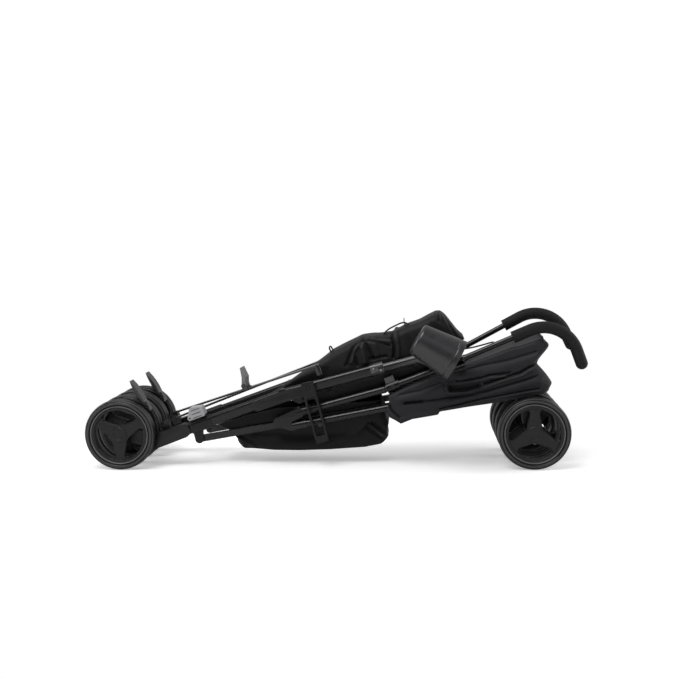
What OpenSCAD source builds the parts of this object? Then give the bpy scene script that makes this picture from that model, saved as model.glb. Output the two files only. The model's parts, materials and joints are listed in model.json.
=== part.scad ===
// Umbrella stroller, folded, lying on its wheels.
// X runs from the rear wheels to the handles, Y across, Z up, in millimetres.
// The near side, at negative Y, carries the cup holder and the storage latch.

/* [Wheels] */
// Diameter of a tyre
wheel_d = 150; // [130:1:160]
// Width of a tyre
tyre_w = 26; // [20:1:30]
// Height of a tyre from its seat on the rim to the tread
tyre_h = 16; // [13:1:22]
// Distance between the middles of the two wheels of a pair
twin_pitch = 62; // [58:1:70]
// Distance between the rear and the front axles while folded
wheelbase = 868; // [850:1:890]
// Diameter of the axles
axle_d = 10; // [8:0.5:12]

/* [Rear legs] */
// Distance from the centre plane to the middle of a side frame
side_y = 62; // [60:1:68]
// Height of the oval leg tube
leg_h = 24; // [20:1:26]
// Width of the oval leg tube
leg_w = 16; // [14:1:18]
// Wall of all frame tubes
tube_wall = 1.5; // [1:0.1:2]
// Slope of the lower leg while folded, in degrees
leg_slope = 19.6; // [18:0.1:21]
// Distance of the leg's axis below the rear axle
leg_drop = 42; // [38:1:46]
// Distance along the leg from the axle to the bend
leg_bend_u = 353; // [345:1:365]
// Angle of that bend, in degrees
leg_bend = 4.9; // [4:0.1:6]
// Distance along the upper leg from the bend to the handle pivot
leg_upper_len = 336; // [330:1:345]
// Distance of the handle pivot below the upper leg's axis
pivot_drop = 32; // [30:1:36]
// Diameter of the shank that carries the handle pivot's fork
shank_d = 18; // [16:1:20]

/* [Handles] */
// Slope of the upper handle while folded, in degrees
handle_slope = 20.6; // [19.5:0.1:21.5]
// Diameter of the lower handle tube
handle_d = 16; // [14:1:18]
// Diameter of the upper handle tube
handle_upper_d = 14; // [13:0.5:16]
// Distance from the handle pivot down to the bend of the handle
handle_bend_len = 128; // [122:1:134]
// Angle of that bend, in degrees
handle_bend = 5.7; // [5:0.1:6.5]
// Length of the lower handle tube
handle_lower_len = 180; // [174:1:186]
// How far the near handle's upper part stands up at its pivot, in degrees
near_lift = 2.3; // [0:0.1:4]
// How far the far handle's upper part stands up at its pivot, in degrees
far_lift = 7.5; // [0:0.5:9]
// Distance from the handle pivot to the start of the hook
hook_start = 198; // [190:1:205]
// Radius of the hook's middle line
hook_r = 72; // [66:1:78]
// Angle that the hook turns, in degrees
hook_turn = 93; // [85:1:98]
// Straight length at the end of the hook
hook_tail = 30; // [24:1:36]
// Diameter of the tube inside the grip
grip_tube_d = 12; // [10:0.5:12.5]
// Diameter of the foam grip
grip_d = 25; // [22:1:28]

/* [Front legs] */
// Distance from the end of the lower handle tube to the knuckle pin
knuckle_reach = 54; // [50:1:58]
// Distance of the knuckle pin below the lower handle tube's axis
knuckle_drop = 9; // [7:0.5:11]
// Distance of the front leg's axis below the knuckle pin
front_leg_drop = 14; // [13:0.5:16]
// Slope of the front leg while folded, in degrees
front_leg_slope = 10.9; // [10:0.1:11.5]
// Length of the front leg from the knuckle to the swivel axis
front_leg_len = 490; // [484:1:496]
// Diameter of the front leg tube
front_leg_d = 15; // [14:0.5:16]
// Lean of the swivel axis from upright while folded, in degrees
swivel_lean = 40.5; // [38:0.5:43]
// Diameter of the swivel stem
stem_d = 10; // [8:0.5:12]

/* [Brace] */
// Distance along the leg from the axle to the brace's lower pins
brace_u = 85; // [84:1:92]
// Length of the brace along the legs while folded
brace_run = 355; // [345:1:360]
// Distance from the centre plane to the lower pins
brace_low_y = 44; // [42:1:46]
// Distance from the centre plane to the upper glides
brace_high_y = 58; // [56:1:60]
// Height of the lower bar above the legs' axes
brace_v = 29; // [28:0.5:30]
// Width of the flat brace bars
brace_w = 16; // [12:1:17]
// Thickness of the brace bars
brace_t = 3.5; // [3:0.5:4]

/* [Cup holder] */
// Outer radius of the mouth
cup_r = 44; // [40:1:46]
// Outer radius of the base
cup_base_r = 33; // [28:1:36]
// Length from base to mouth
cup_len = 91; // [80:1:100]
// Wall of the cup
cup_wall = 3; // [2:0.5:4]
// Angle of its axis below level while folded, in degrees
cup_tilt = 30; // [25:1:35]

/* [Soft goods] */
// Half width of the canopy
canopy_y = 79.4; // [79:0.1:80]
// Half width of the back
back_y = 52; // [50.5:0.5:52.5]
// Half width of the basket
basket_y = 46.5; // [40:0.5:46.5]
// Thickness of the soft walls
cloth_t = 4; // [3:0.5:4]
// Length of the seat boards
seat_len = 236; // [225:1:240]
// Thickness of the seat boards
seat_t = 12; // [8:1:14]
// Length of the bars that carry the basket
basket_bar_len = 485; // [475:1:490]

/* [Hidden] */
$fn = 64;

// Clearances: a turning fit, a seat between two pieces, a gap between moving faces
fit = 0.05;
seat = 0.15;
gap = 0.4;
pin_r = 3;
elbow = 0.25;
big = 400;

wheel_r = wheel_d / 2;
rim_r = wheel_r - tyre_h;
axle_r = axle_d / 2;
handle_r = handle_d / 2;
handle_upper_r = handle_upper_d / 2;
grip_tube_r = grip_tube_d / 2;
grip_r = grip_d / 2;
front_leg_r = front_leg_d / 2;
stem_r = stem_d / 2;
shank_r = shank_d / 2;

// Unit vectors in the side plane, as [x, z]
function along(a) = [cos(a), sin(a)];
function above(a) = [-sin(a), cos(a)];

// Points of the side frame, as [x, z] from the foot of the rear axle
axle = [0, wheel_r];
front_axle = [wheelbase, wheel_r];
leg_o = axle - leg_drop * above(leg_slope);
function leg_pt(u, v) = leg_o + u * along(leg_slope) + v * above(leg_slope);
leg_upper_slope = leg_slope - leg_bend;
bend = leg_pt(leg_bend_u, 0);
function upper_pt(u, v) = bend + u * along(leg_upper_slope) + v * above(leg_upper_slope);
pivot = upper_pt(leg_upper_len, -pivot_drop);
handle_corner = pivot - handle_bend_len * along(handle_slope);
handle_lower_slope = handle_slope - handle_bend;
handle_end = handle_corner - handle_lower_len * along(handle_lower_slope);
knuckle = handle_end - knuckle_reach * along(handle_lower_slope) - knuckle_drop * above(handle_lower_slope);
front_leg_o = knuckle - front_leg_drop * above(front_leg_slope);
function front_pt(q) = front_leg_o + q * along(front_leg_slope);
socket = front_pt(front_leg_len);
swivel_down = [sin(swivel_lean), -cos(swivel_lean)];
basket_pin = leg_pt(146, -30);
seat_pin = upper_pt(28, -22);
pedal_pin = axle + [54, 48];

// The basket bar ends on the front leg's axis, at its own length from its pin
bar_gap = front_leg_o - basket_pin;
bar_b = bar_gap * along(front_leg_slope);
bar_q = -bar_b + sqrt(bar_b * bar_b - bar_gap * bar_gap + basket_bar_len * basket_bar_len);
bar_end = front_pt(bar_q);
bar_slope = atan2(bar_end[1] - basket_pin[1], bar_end[0] - basket_pin[0]);
basket_bar_y = side_y - 12.9;
basket_bar_t = 4.6;

// The handle's fixed tube ends a hand's width past the pivot, and the grip turns in it
handle_top = 55;
grip_plug = 35;
foam_start = hook_start - 38;

// Places and turns
module frame() translate([-wheelbase / 2, 0, 0]) children();
module near() frame() children();
module far() frame() mirror([0, 1, 0]) children();
module at(p, slope = 0, y = -side_y) translate([p[0], y, p[1]]) rotate([0, -slope, 0]) children();
module leg_frame() at(leg_o, leg_slope) children();
module upper_frame() at(bend, leg_upper_slope) children();
module handle_frame(lift = 0) at(pivot, handle_slope + lift) children();
module across(p, r, y0, y1) translate([p[0], y1, p[1]]) rotate([90, 0, 0]) cylinder(r = r, h = y1 - y0);
module plate(y0, y1) translate([0, y1, 0]) rotate([90, 0, 0]) linear_extrude(y1 - y0) children();
module rod(a, b, r, y = -side_y) {
    d = b - a;
    translate([a[0], y, a[1]]) rotate([0, atan2(d[0], d[1]), 0]) cylinder(r = r, h = norm(d));
}

// A flat arm: two discs and the tangents between them, from y0 to y1
module arm(y0, y1, a, ra, b, rb) {
    d = b - a;
    turn = atan2(d[1], d[0]);
    spread = acos((ra - rb) / norm(d));
    pa = ra - 0.15;
    pb = rb - 0.15;
    union() {
        across(a, ra, y0, y1);
        across(b, rb, y0, y1);
        plate(y0, y1) polygon([
            a + pa * along(turn + spread), b + pb * along(turn + spread),
            b + pb * along(turn - spread), a + pa * along(turn - spread)
        ]);
    }
}

// An oval bar along X, with flat sides across
module oval(x0, x1, h, w) {
    rounded = (h - w) / 2;
    translate([x0, 0, 0]) rotate([90, 0, 90]) linear_extrude(x1 - x0) {
        square([w, h - w], center = true);
        translate([0, rounded]) circle(w / 2);
        translate([0, -rounded]) circle(w / 2);
    }
}

// Wheels
module tyre(p, y) {
    crown = tyre_w * 0.77;
    color("#303030") frame() translate([p[0], y, p[1]]) rotate([90, 0, 0]) rotate_extrude($fn = 96)
        intersection() {
            translate([rim_r + seat, -tyre_w / 2]) square([tyre_h, tyre_w]);
            translate([wheel_r - crown, 0]) circle(crown);
        }
}

// A rim has a ring, a face plate with three rounded windows and a closed hub
// face is the side that shows, and turn the angle of one spoke
module rim(p, y, face, turn) {
    ring = 5.5;
    half = tyre_w / 2 - 2;
    hub = 16;
    plate_t = 9;
    color("#2e2e2e") frame() translate([p[0], y, p[1]]) mirror([0, face > 0 ? 1 : 0, 0]) difference() {
        union() {
            difference() {
                across([0, 0], rim_r, -half, half);
                across([0, 0], rim_r - ring, -half - 1, half + 1);
            }
            across([0, 0], rim_r - ring + 1, -half + 2, -half + 2 + plate_t);
            across([0, 0], hub, -half, half);
        }
        for (k = [0:2]) rotate([0, -turn - 60 - 120 * k, 0]) rim_window(half + 5);
        across([0, 0], axle_r + fit, -half + 4, half + 1);
    }
}

// A window of the rim: three round corners, with its outer side on an arc of the rim
module rim_window(reach) {
    outer_r = 7;
    outer_c = rim_r - 6 - outer_r;
    spread = 38;
    inner = [26, 0];
    arc_r = outer_c + outer_r - 0.9;
    for (s = [-1, 1]) arm(-reach, reach, outer_c * along(s * spread), outer_r, inner, 6.5);
    intersection() {
        across([0, 0], arc_r, -reach, reach);
        plate(-reach, reach)
            polygon([inner - [3, 0], 2 * rim_r * along(-spread + 5), 2 * rim_r * along(spread - 5)]);
    }
}

module axle_rod(p) {
    reach = twin_pitch / 2 + tyre_w / 2 - 6.5;
    color("silver") across(p, axle_r, -side_y - reach, -side_y + reach);
}
module rear_axle_near() near() axle_rod(axle);
module rear_axle_far() far() axle_rod(axle);
function wheel_y(k) = (k < 3 ? -1 : 1) * (side_y + (k == 1 || k == 4 ? 1 : -1) * twin_pitch / 2);
module tyre_rear(k) tyre(axle, wheel_y(k));
module tyre_front(k) tyre(front_axle, wheel_y(k));
function wheel_face(k) = k == 1 || k == 3 ? -1 : 1;
module rim_rear(k) rim(axle, wheel_y(k), wheel_face(k), 30);
module rim_front(k) rim(front_axle, wheel_y(k), wheel_face(k), 90);

// Rear legs: a bent oval tube from the foot to the fork's sleeve
leg_tube_u0 = 62;
sleeve_u = 192;
sleeve_len = 28;
module leg_solid(grow = 0, ends = 0) {
    leg_frame() oval(leg_tube_u0 - ends, leg_bend_u + 1, leg_h + 2 * grow, leg_w + 2 * grow);
    upper_frame() oval(-1, sleeve_u + ends + 18, leg_h + 2 * grow, leg_w + 2 * grow);
    half = leg_w / 2 + grow + elbow;
    across(bend, leg_h / 2 + grow + elbow, -side_y - half, -side_y + half);
}
module leg_tube() color("#262626") difference() {
    leg_solid();
    leg_solid(-tube_wall, 5);
}
module leg_tube_near() near() leg_tube();
module leg_tube_far() far() leg_tube();

// The foot holds the axle, the end of the leg, the brake pedal's pin and the brace's pin
foot_y = 13;
pedal_r = 6;
brace_collar_r = 9;
module rear_foot(bar_v) {
    lug_v = bar_v - brace_t / 2 - 0.5 - gap;
    heel = leg_pt(58, 0);
    color("#2a2a2a") difference() {
        union() {
            arm(-side_y - foot_y, -side_y + foot_y, axle, 16, heel, 16);
            arm(-side_y - foot_y, -side_y + foot_y, heel, 16, leg_pt(124, 0), 14.5);
            leg_frame() translate([brace_u - brace_collar_r, foot_y - 4, 8])
                cube([2 * brace_collar_r, side_y - brace_low_y - foot_y + 12, lug_v - 8]);
            for (s = [-1, 1]) {
                ear = -side_y + s * (foot_y - 2);
                arm(ear - 2, ear + 2, axle, 14, pedal_pin, pedal_r);
            }
            across(pedal_pin, pin_r - fit, -side_y - foot_y, -side_y + foot_y);
            leg_frame() translate([brace_u, side_y - brace_low_y, lug_v - 1])
                cylinder(r = pin_r - fit, h = brace_t + gap + 1.5);
        }
        leg_solid(seat);
        across(axle, axle_r + fit, -side_y - 30, -side_y + 30);
    }
}
brace_far_v = brace_v + brace_t + 1;
module rear_foot_near() near() rear_foot(brace_v);
module rear_foot_far() far() rear_foot(brace_far_v);

// The joint cover on the bend, with the seat's lug and the latch's pin
cheek_y = side_y + leg_w / 2 + 6.4;
latch_pin = upper_pt(57, 3);
latch_y0 = cheek_y + 0.6;
latch_t = 6;
module leg_joint(with_latch) color("#2a2a2a") difference() {
    union() {
        arm(-cheek_y, -side_y + 4.5, leg_pt(295, -3), 11.5, upper_pt(0, -3), 12);
        arm(-cheek_y, -side_y + 4.5, upper_pt(0, -3), 12, upper_pt(62, -3), 11.5);
        arm(-side_y + 4, -side_y + 9, upper_pt(14, -8), 8, seat_pin, 7);
        across(seat_pin, pin_r - fit, -side_y + 4, -side_y + 15.5);
        if (with_latch) across(latch_pin, pin_r - fit, -latch_y0 - latch_t, -cheek_y + 1);
    }
    leg_solid(seat);
}
module leg_joint_near() near() leg_joint(true);
module leg_joint_far() far() leg_joint(false);

// The fork: a sleeve on the leg's end, a round shank and two arms round the handle
arm_in = handle_upper_r + elbow + gap;
arm_t = 4;
fork_u = leg_upper_len - 36;
module leg_fork() color("#262626") {
    difference() {
        union() {
            upper_frame() oval(sleeve_u, sleeve_u + sleeve_len, leg_h + 3, leg_w + 3);
            upper_frame() translate([sleeve_u + sleeve_len - 1, 0, 0]) rotate([0, 90, 0])
                cylinder(r = shank_r, h = fork_u - sleeve_u - sleeve_len + 1);
            across(upper_pt(fork_u, 0), shank_r, -side_y - arm_in - arm_t, -side_y + arm_in + arm_t);
            for (s = [-1, 1]) {
                y0 = -side_y + s * (arm_in + arm_t / 2) - arm_t / 2;
                arm(y0, y0 + arm_t, upper_pt(fork_u, 0), shank_r, pivot, 9);
            }
            across(pivot, pin_r - fit, -side_y - arm_in - arm_t, -side_y + arm_in + arm_t);
            across(upper_pt(sleeve_u + sleeve_len / 2, 0), 4, -side_y - leg_w / 2 - 3, -side_y - leg_w / 2);
        }
        leg_solid(seat);
    }
}
module leg_fork_near() near() leg_fork();
module leg_fork_far() far() leg_fork();

// The clamp on the lower leg, with the basket bar's lug and, on one side, the lock's post
lock_pin = leg_pt(148, 21);
lock_w = 4;
module leg_bracket(with_lock) color("#2c2c2c") difference() {
    union() {
        leg_frame() oval(140, 188, leg_h + 4, leg_w + 4);
        arm(-side_y + 4, -side_y + 9, leg_pt(152, -4), 12, basket_pin, 9);
        across(basket_pin, pin_r - fit, -side_y + 4, -basket_bar_y + basket_bar_t / 2);
        if (with_lock) {
            arm(-side_y - lock_w, -side_y + lock_w, leg_pt(152, 8), 6, lock_pin, 5);
            across(lock_pin, 2, -side_y - 13, -side_y + 12);
        }
    }
    leg_solid(seat);
}
module leg_bracket_near() near() leg_bracket(true);
module leg_bracket_far() far() leg_bracket(false);

// Foot pedals of the rear brakes, each a leaf between two arcs with a web below it
pedal_w = 28;
leaf_r = 125;
module brake_pedal() {
    tip = axle + [19, 111];
    root = pedal_pin + [-3, pedal_r + 5];
    half = norm(tip - root) / 2;
    lean = atan2(tip[1] - root[1], tip[0] - root[0]);
    off = sqrt(leaf_r * leaf_r - half * half) * above(lean);
    mid = (tip + root) / 2;
    y0 = -side_y - pedal_w / 2;
    color("#3e3e3e") difference() {
        union() {
            arm(-side_y - foot_y + 4 + gap, -side_y + foot_y - 4 - gap,
                pedal_pin, pedal_r, root + [-1, 3], 4);
            intersection() {
                across(mid + off, leaf_r, y0, y0 + pedal_w);
                across(mid - off, leaf_r, y0, y0 + pedal_w);
            }
            plate(-side_y - 2, -side_y + 2) polygon([root, tip + [2, -4], axle + [30, 74]]);
        }
        across(pedal_pin, pin_r, -side_y - 20, -side_y + 20);
    }
}
module brake_pedal_near() near() brake_pedal();
module brake_pedal_far() far() brake_pedal();

// Handles: a bent tube with the knuckle below and the turning grip above
module handle_tube(lift) {
    color("#262626") difference() {
        union() {
            rod(handle_end, handle_corner, handle_r);
            at(handle_corner) sphere(handle_r + elbow);
            rod(handle_corner, pivot, handle_upper_r);
            at(pivot) sphere(handle_upper_r + elbow);
            handle_frame(lift) rotate([0, 90, 0]) cylinder(r = handle_upper_r, h = handle_top);
        }
        rod(handle_end - 5 * along(handle_lower_slope), handle_corner, handle_r - tube_wall);
        rod(handle_corner, pivot - 14 * along(handle_slope), handle_upper_r - tube_wall);
        handle_frame(lift) translate([handle_top - grip_plug, 0, 0]) rotate([0, 90, 0])
            cylinder(r = grip_tube_r + fit, h = big);
        across(pivot, pin_r, -side_y - 30, -side_y + 30);
    }
}
module handle_tube_near() near() handle_tube(near_lift);
module handle_tube_far() far() handle_tube(far_lift);

// The clip on the handle's bend that carries the canopy
clip_s = -handle_bend_len + 6;
clip_len = 28;
clip_r = handle_upper_r + 4;
module handle_clip() color("#2a2a2a") difference() {
    union() {
        handle_frame() translate([clip_s, 0, 0]) rotate([0, 90, 0]) cylinder(r = clip_r, h = clip_len);
        across(pivot + (clip_s + 14) * along(handle_slope), 5, -side_y - clip_r - 1.5, -side_y - clip_r + 4);
    }
    handle_frame() translate([clip_s - 1, 0, 0]) rotate([0, 90, 0])
        cylinder(r = handle_upper_r + seat, h = clip_len + 2);
}
module handle_clip_near() near() handle_clip();
module handle_clip_far() far() handle_clip();

// A pad on the clip that keeps the folded tubes apart
module fold_bumper() color("#444444") near() handle_frame() difference() {
    translate([clip_s + 2, -5, clip_r - 4]) cube([20, 10, 15]);
    translate([clip_s - 1, 0, 0]) rotate([0, 90, 0]) cylinder(r = clip_r + seat, h = clip_len + 2);
}

// The knuckle on the lower end of the handle: a socket and two cheeks with the hinge pin
tongue_y = 4.7;
cheek_in = tongue_y + 0.3;
cheek_out = cheek_in + 5;
module knuckle_body() color("#2a2a2a") difference() {
    lower = along(handle_lower_slope);
    union() {
        rod(handle_end - 14 * lower, handle_end + 30 * lower, handle_r + 2.5);
        for (s = [-1, 1]) {
            y0 = -side_y + s * (cheek_in + cheek_out) / 2 - (cheek_out - cheek_in) / 2;
            arm(y0, y0 + cheek_out - cheek_in, handle_end - 6 * lower, handle_r + 2, knuckle, 11.5);
        }
        across(knuckle, pin_r + 1, -side_y - cheek_out, -side_y + cheek_out);
    }
    rod(handle_end - seat * along(handle_lower_slope), handle_corner, handle_r + seat);
}
module knuckle_near() near() knuckle_body();
module knuckle_far() far() knuckle_body();

// The cup holder with its clip round the handle
cup_clip_s = 41;
cup_y = side_y + 29 + cup_r;
cup_mouth = pivot + 34 * along(handle_slope) + 13 * above(handle_slope);
module cup_at() at(cup_mouth - cup_len * along(-cup_tilt), -cup_tilt, -cup_y) rotate([0, 90, 0]) children();
module cup_holder() color("#3e3e3e") near() {
    slope = (cup_r - cup_base_r) / cup_len;
    difference() {
        union() {
            cup_at() cylinder(r1 = cup_base_r, r2 = cup_r, h = cup_len, $fn = 96);
            handle_frame(near_lift) translate([cup_clip_s - 9, 0, 0]) rotate([0, 90, 0])
                cylinder(r = handle_upper_r + 3.5, h = 18);
            handle_frame(near_lift) translate([cup_clip_s - 14, side_y - cup_y + cup_r - 8, -6])
                cube([20, cup_y - side_y - cup_r + 8 - handle_upper_r - 1, 32]);
        }
        cup_at() translate([0, 0, cup_wall])
            cylinder(r1 = cup_base_r + (slope - 1) * cup_wall, r2 = cup_r - cup_wall,
                h = cup_len - cup_wall + 0.01);
        cup_at() translate([0, 0, cup_len]) cylinder(r = cup_r, h = 60);
        cup_at() translate([0, 0, cup_len - 12]) rotate_extrude($fn = 96)
            translate([cup_r - 1, 0]) circle(1.2);
        handle_frame(near_lift) translate([cup_clip_s - 20, 0, 0]) rotate([0, 90, 0])
            cylinder(r = handle_upper_r + seat, h = 40);
    }
}

// Turning upper handle: a plug, a straight run, the hook and its tail
module hook(r, from, tail) {
    collar = r + 0.1;
    translate([from, 0, 0]) rotate([0, 90, 0]) cylinder(r = r, h = hook_start - from);
    translate([hook_start - 1, 0, 0]) rotate([0, 90, 0]) cylinder(r = collar, h = 2);
    translate([hook_start, 0, -hook_r]) {
        rotate([90, 0, 0]) rotate([0, 0, 90 - hook_turn]) rotate_extrude(angle = hook_turn)
            translate([hook_r, 0]) circle(r);
        rotate([0, hook_turn - 90, 0]) translate([hook_r, 0, -tail]) {
            cylinder(r = r, h = tail);
            translate([0, 0, tail - 1]) cylinder(r = collar, h = 2);
        }
    }
}
module grip_tube(lift) color("#262626") handle_frame(lift)
    hook(grip_tube_r, handle_top - grip_plug + 1, hook_tail - 6);
module grip_tube_near() near() grip_tube(near_lift);
module grip_tube_far() far() grip_tube(far_lift);
module foam_grip(lift) color("#2b2b2b") handle_frame(lift) difference() {
    union() {
        hook(grip_r, foam_start, hook_tail);
        translate([hook_start, 0, -hook_r]) rotate([0, hook_turn - 90, 0])
            translate([hook_r, 0, -hook_tail]) sphere(grip_r);
    }
    hook(grip_tube_r + seat, foam_start - 5, hook_tail - 5);
}
module foam_grip_near() near() foam_grip(near_lift);
module foam_grip_far() far() foam_grip(far_lift);

// Front legs: a tube with a flat tongue at the knuckle and, on one side, the latch's stud
front_tube_q = 32;
socket_r = 12.5;
stud = front_pt(86) - 6 * above(front_leg_slope);
module front_leg(with_stud) color("#262626") difference() {
    union() {
        rod(front_pt(front_tube_q), front_pt(front_leg_len - socket_r + 4), front_leg_r);
        rod(front_pt(front_tube_q - 6), front_pt(front_tube_q + 26), front_leg_r + 2);
        arm(-side_y - tongue_y, -side_y + tongue_y, knuckle, 10.5, front_pt(front_tube_q - 8), 9);
        arm(-side_y - tongue_y, -side_y + tongue_y, front_pt(front_tube_q - 8), 9,
            front_pt(front_tube_q + 4), 7);
        if (with_stud) across(stud, 5, -latch_y0 + gap, -side_y);
    }
    rod(front_pt(front_tube_q + 30), front_pt(front_leg_len), front_leg_r - tube_wall);
    across(knuckle, pin_r + 1 + fit, -side_y - 30, -side_y + 30);
}
module front_leg_near() near() front_leg(true);
module front_leg_far() far() front_leg(false);

// The swivel socket on the end of the front leg
socket_low = 24;
module caster_socket() color("#2a2a2a") difference() {
    union() {
        rod(socket - 26 * swivel_down, socket + socket_low * swivel_down, socket_r);
        rod(front_pt(front_leg_len - 46), front_pt(front_leg_len - 4), front_leg_r + 3);
    }
    rod(front_pt(front_leg_len - 50), front_pt(front_leg_len - socket_r + 4 + seat), front_leg_r + seat);
    rod(socket + (socket_low - 20) * swivel_down, socket + (socket_low + 20) * swivel_down, stem_r + fit);
}
module caster_socket_near() near() caster_socket();
module caster_socket_far() far() caster_socket();

// The caster's fork: stem, head, a flat arm between the wheels and the axle pressed into it
module caster_fork() color("#2a2a2a") {
    head = socket + (socket_low + gap) * swivel_down;
    reach = twin_pitch / 2 + tyre_w / 2 - 6.5;
    rod(head - 17 * swivel_down, head + 4 * swivel_down, stem_r);
    rod(head, head + 22 * swivel_down, socket_r);
    arm(-side_y - socket_r, -side_y + socket_r, head + 16 * swivel_down, 12, front_axle, 14);
    across(front_axle, axle_r, -side_y - reach, -side_y + reach);
}
module caster_fork_near() near() caster_fork();
module caster_fork_far() far() caster_fork();

// The bars that carry the basket, from the rear leg's clamp to the front leg
module basket_bar() color("#222222") difference() {
    arm(-basket_bar_y - basket_bar_t / 2, -basket_bar_y + basket_bar_t / 2, basket_pin, 8, bar_end, 6.5);
    across(basket_pin, pin_r, -side_y, 0);
}
module basket_bar_near() near() basket_bar();
module basket_bar_far() far() basket_bar();

// The crossed brace: each bar turns on its own foot and glides along the other leg
brace_turn = atan2(brace_low_y + brace_high_y, brace_run);
brace_len = norm([brace_run, brace_low_y + brace_high_y]);
module brace_frame(v) leg_frame() translate([brace_u, side_y - brace_low_y, v])
    rotate([0, 0, brace_turn]) children();
module brace_bar(v) difference() {
    glide_h = v - leg_h / 2 - gap;
    union() {
        translate([0, 0.15 - brace_w / 2, -brace_t / 2]) cube([brace_len, brace_w - 0.3, brace_t]);
        translate([0, 0, -brace_t / 2 - 0.5]) cylinder(r = brace_collar_r, h = brace_t + 1);
        translate([brace_len, 0, -glide_h]) cylinder(r = brace_w / 2, h = glide_h + brace_t / 2 - 0.5);
    }
    translate([0, 0, -brace_t]) cylinder(r = pin_r, h = 2 * brace_t);
}

// The upper bar carries a saddle with the pin of the fold pedal
pedal_root = [brace_len / 2 + 10, brace_t / 2 + 7];
ear_y = 10;
module pedal_saddle() {
    translate([pedal_root[0] - 7, -ear_y - 3, brace_t / 2 - 1]) cube([14, 2 * ear_y + 6, 2.5]);
    for (y = [-ear_y - 3, ear_y]) {
        translate([pedal_root[0] - 4, y, brace_t / 2]) cube([8, 3, 7]);
        across(pedal_root, 4.5, y, y + 3);
    }
    across(pedal_root, pin_r - fit, -ear_y - 1, ear_y + 1);
}
module brace_bar_near() color("#2e2e2e") near() brace_frame(brace_v) brace_bar(brace_v);
module brace_bar_far() color("#2e2e2e") far() brace_frame(brace_far_v) {
    union() {
        brace_bar(brace_far_v);
        pedal_saddle();
    }
}

// The fold pedal, a tapered horn that stands on the brace beside its crossing
module fold_pedal() color("#7c7c7c") far() brace_frame(brace_far_v) difference() {
    waist = pedal_root + [7, 17];
    union() {
        arm(-ear_y + gap, ear_y - gap, pedal_root, 5, waist, 4.6);
        arm(-ear_y + gap, ear_y - gap, waist, 4.6, pedal_root + [8, 38], 1.6);
    }
    across(pedal_root, pin_r, -30, 30);
}

// The side lock, a ribbed thumb block on the rear leg's clamp
module side_lock() color("#a8a8a8") near() difference() {
    block = [lock_pin, leg_pt(178, leg_h / 2 + 8), leg_pt(177, 34), leg_pt(157, 38)];
    union() {
        arm(-side_y - 14, -side_y + 12, lock_pin, 5, leg_pt(178, leg_h / 2 + 8), 4);
        arm(-side_y - 14, -side_y + 12, lock_pin, 5, leg_pt(157, 38), 4);
        arm(-side_y - 14, -side_y + 12, leg_pt(157, 38), 4, leg_pt(177, 34), 4);
        arm(-side_y - 14, -side_y + 12, leg_pt(177, 34), 4, leg_pt(178, leg_h / 2 + 8), 4);
        plate(-side_y - 14, -side_y + 12) polygon(block);
    }
    arm(-side_y - lock_w - gap, -side_y + lock_w + gap, lock_pin, 6.5, leg_pt(152, 12), 8);
    across(lock_pin, 2 + fit, -side_y - 30, -side_y + 30);
    for (k = [0:2]) leg_frame() translate([155, -15, 18 + 8 * k]) cube([20, 2.2, 2]);
}

// The storage latch, a slotted frame that hooks over the front leg's stud
latch_w = 31;
latch_len = 120;
latch_round = 3.5;
latch_slot_r = 7;
function latch_pt(q, n) = latch_pin + q * along(-76) + n * above(-76);
module storage_latch() color("#242424") near() difference() {
    edge = latch_w / 2 - latch_round;
    corners = [
        latch_pt(-6, -edge), latch_pt(-6, edge),
        latch_pt(latch_len, edge), latch_pt(latch_len, -edge)
    ];
    union() {
        for (k = [0:3])
            arm(-latch_y0 - latch_t, -latch_y0, corners[k], latch_round, corners[(k + 1) % 4], latch_round);
        plate(-latch_y0 - latch_t, -latch_y0) polygon(corners);
    }
    arm(-latch_y0 - 20, -latch_y0 + 20, latch_pt(26, 0), latch_slot_r, latch_pt(92, 0), latch_slot_r);
    across(latch_pin, pin_r, -latch_y0 - 20, -latch_y0 + 20);
}

// The two stiff halves of the seat, folded between the legs and the handles
module seat_board() color("#232323") difference() {
    union() {
        upper_frame() translate([28 + 12, side_y - 45.5, -22 - seat_t / 2])
            cube([seat_len - 12, 45.1, seat_t]);
        arm(-side_y + 10.5, -side_y + 15.5, seat_pin, 7, upper_pt(58, -22), 6);
        upper_frame() translate([46, side_y - 48, -22 - 5]) cube([16, 6, 10]);
    }
    across(seat_pin, pin_r, -side_y - 30, -side_y + 30);
}
module seat_board_near() near() seat_board();
module seat_board_far() far() seat_board();

// The room that the cloth leaves round a leg's fork, and round a front leg with its socket
module fork_room() {
    half = arm_in + arm_t + gap;
    arm(-side_y - half, -side_y + half, upper_pt(fork_u, 0), shank_r + gap, pivot, 9 + gap);
}
module front_leg_room() {
    rod(front_pt(front_tube_q), front_pt(front_leg_len - 4 + gap), front_leg_r + 3 + gap);
    rod(socket - (26 + gap) * swivel_down, socket + (socket_low + gap) * swivel_down, socket_r + gap);
}

// The back, a hump of cloth between the upper legs, open below
module seat_back() color("#242424") near() {
    hump = [
        [100, 20], [100, 45], [146, 57], [194, 67], [237, 60], [283, 73],
        [334, 68], [360, 78], [375, 68], [398, -8], [382, 8], [290, 14], [284, -18], [100, -18]
    ];
    room = [
        [90, -30], [90, 36], [146, 48], [194, 58], [237, 50], [283, 62],
        [334, 58], [356, 66], [366, 60], [388, -10], [388, -30]
    ];
    difference() {
        at(bend, leg_upper_slope, 0) plate(-back_y, back_y) polygon(hump);
        at(bend, leg_upper_slope, 0) plate(-back_y + cloth_t - 1, back_y - cloth_t + 1) polygon(room);
        for (m = [0, 1]) mirror([0, m, 0]) fork_room();
    }
}

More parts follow.
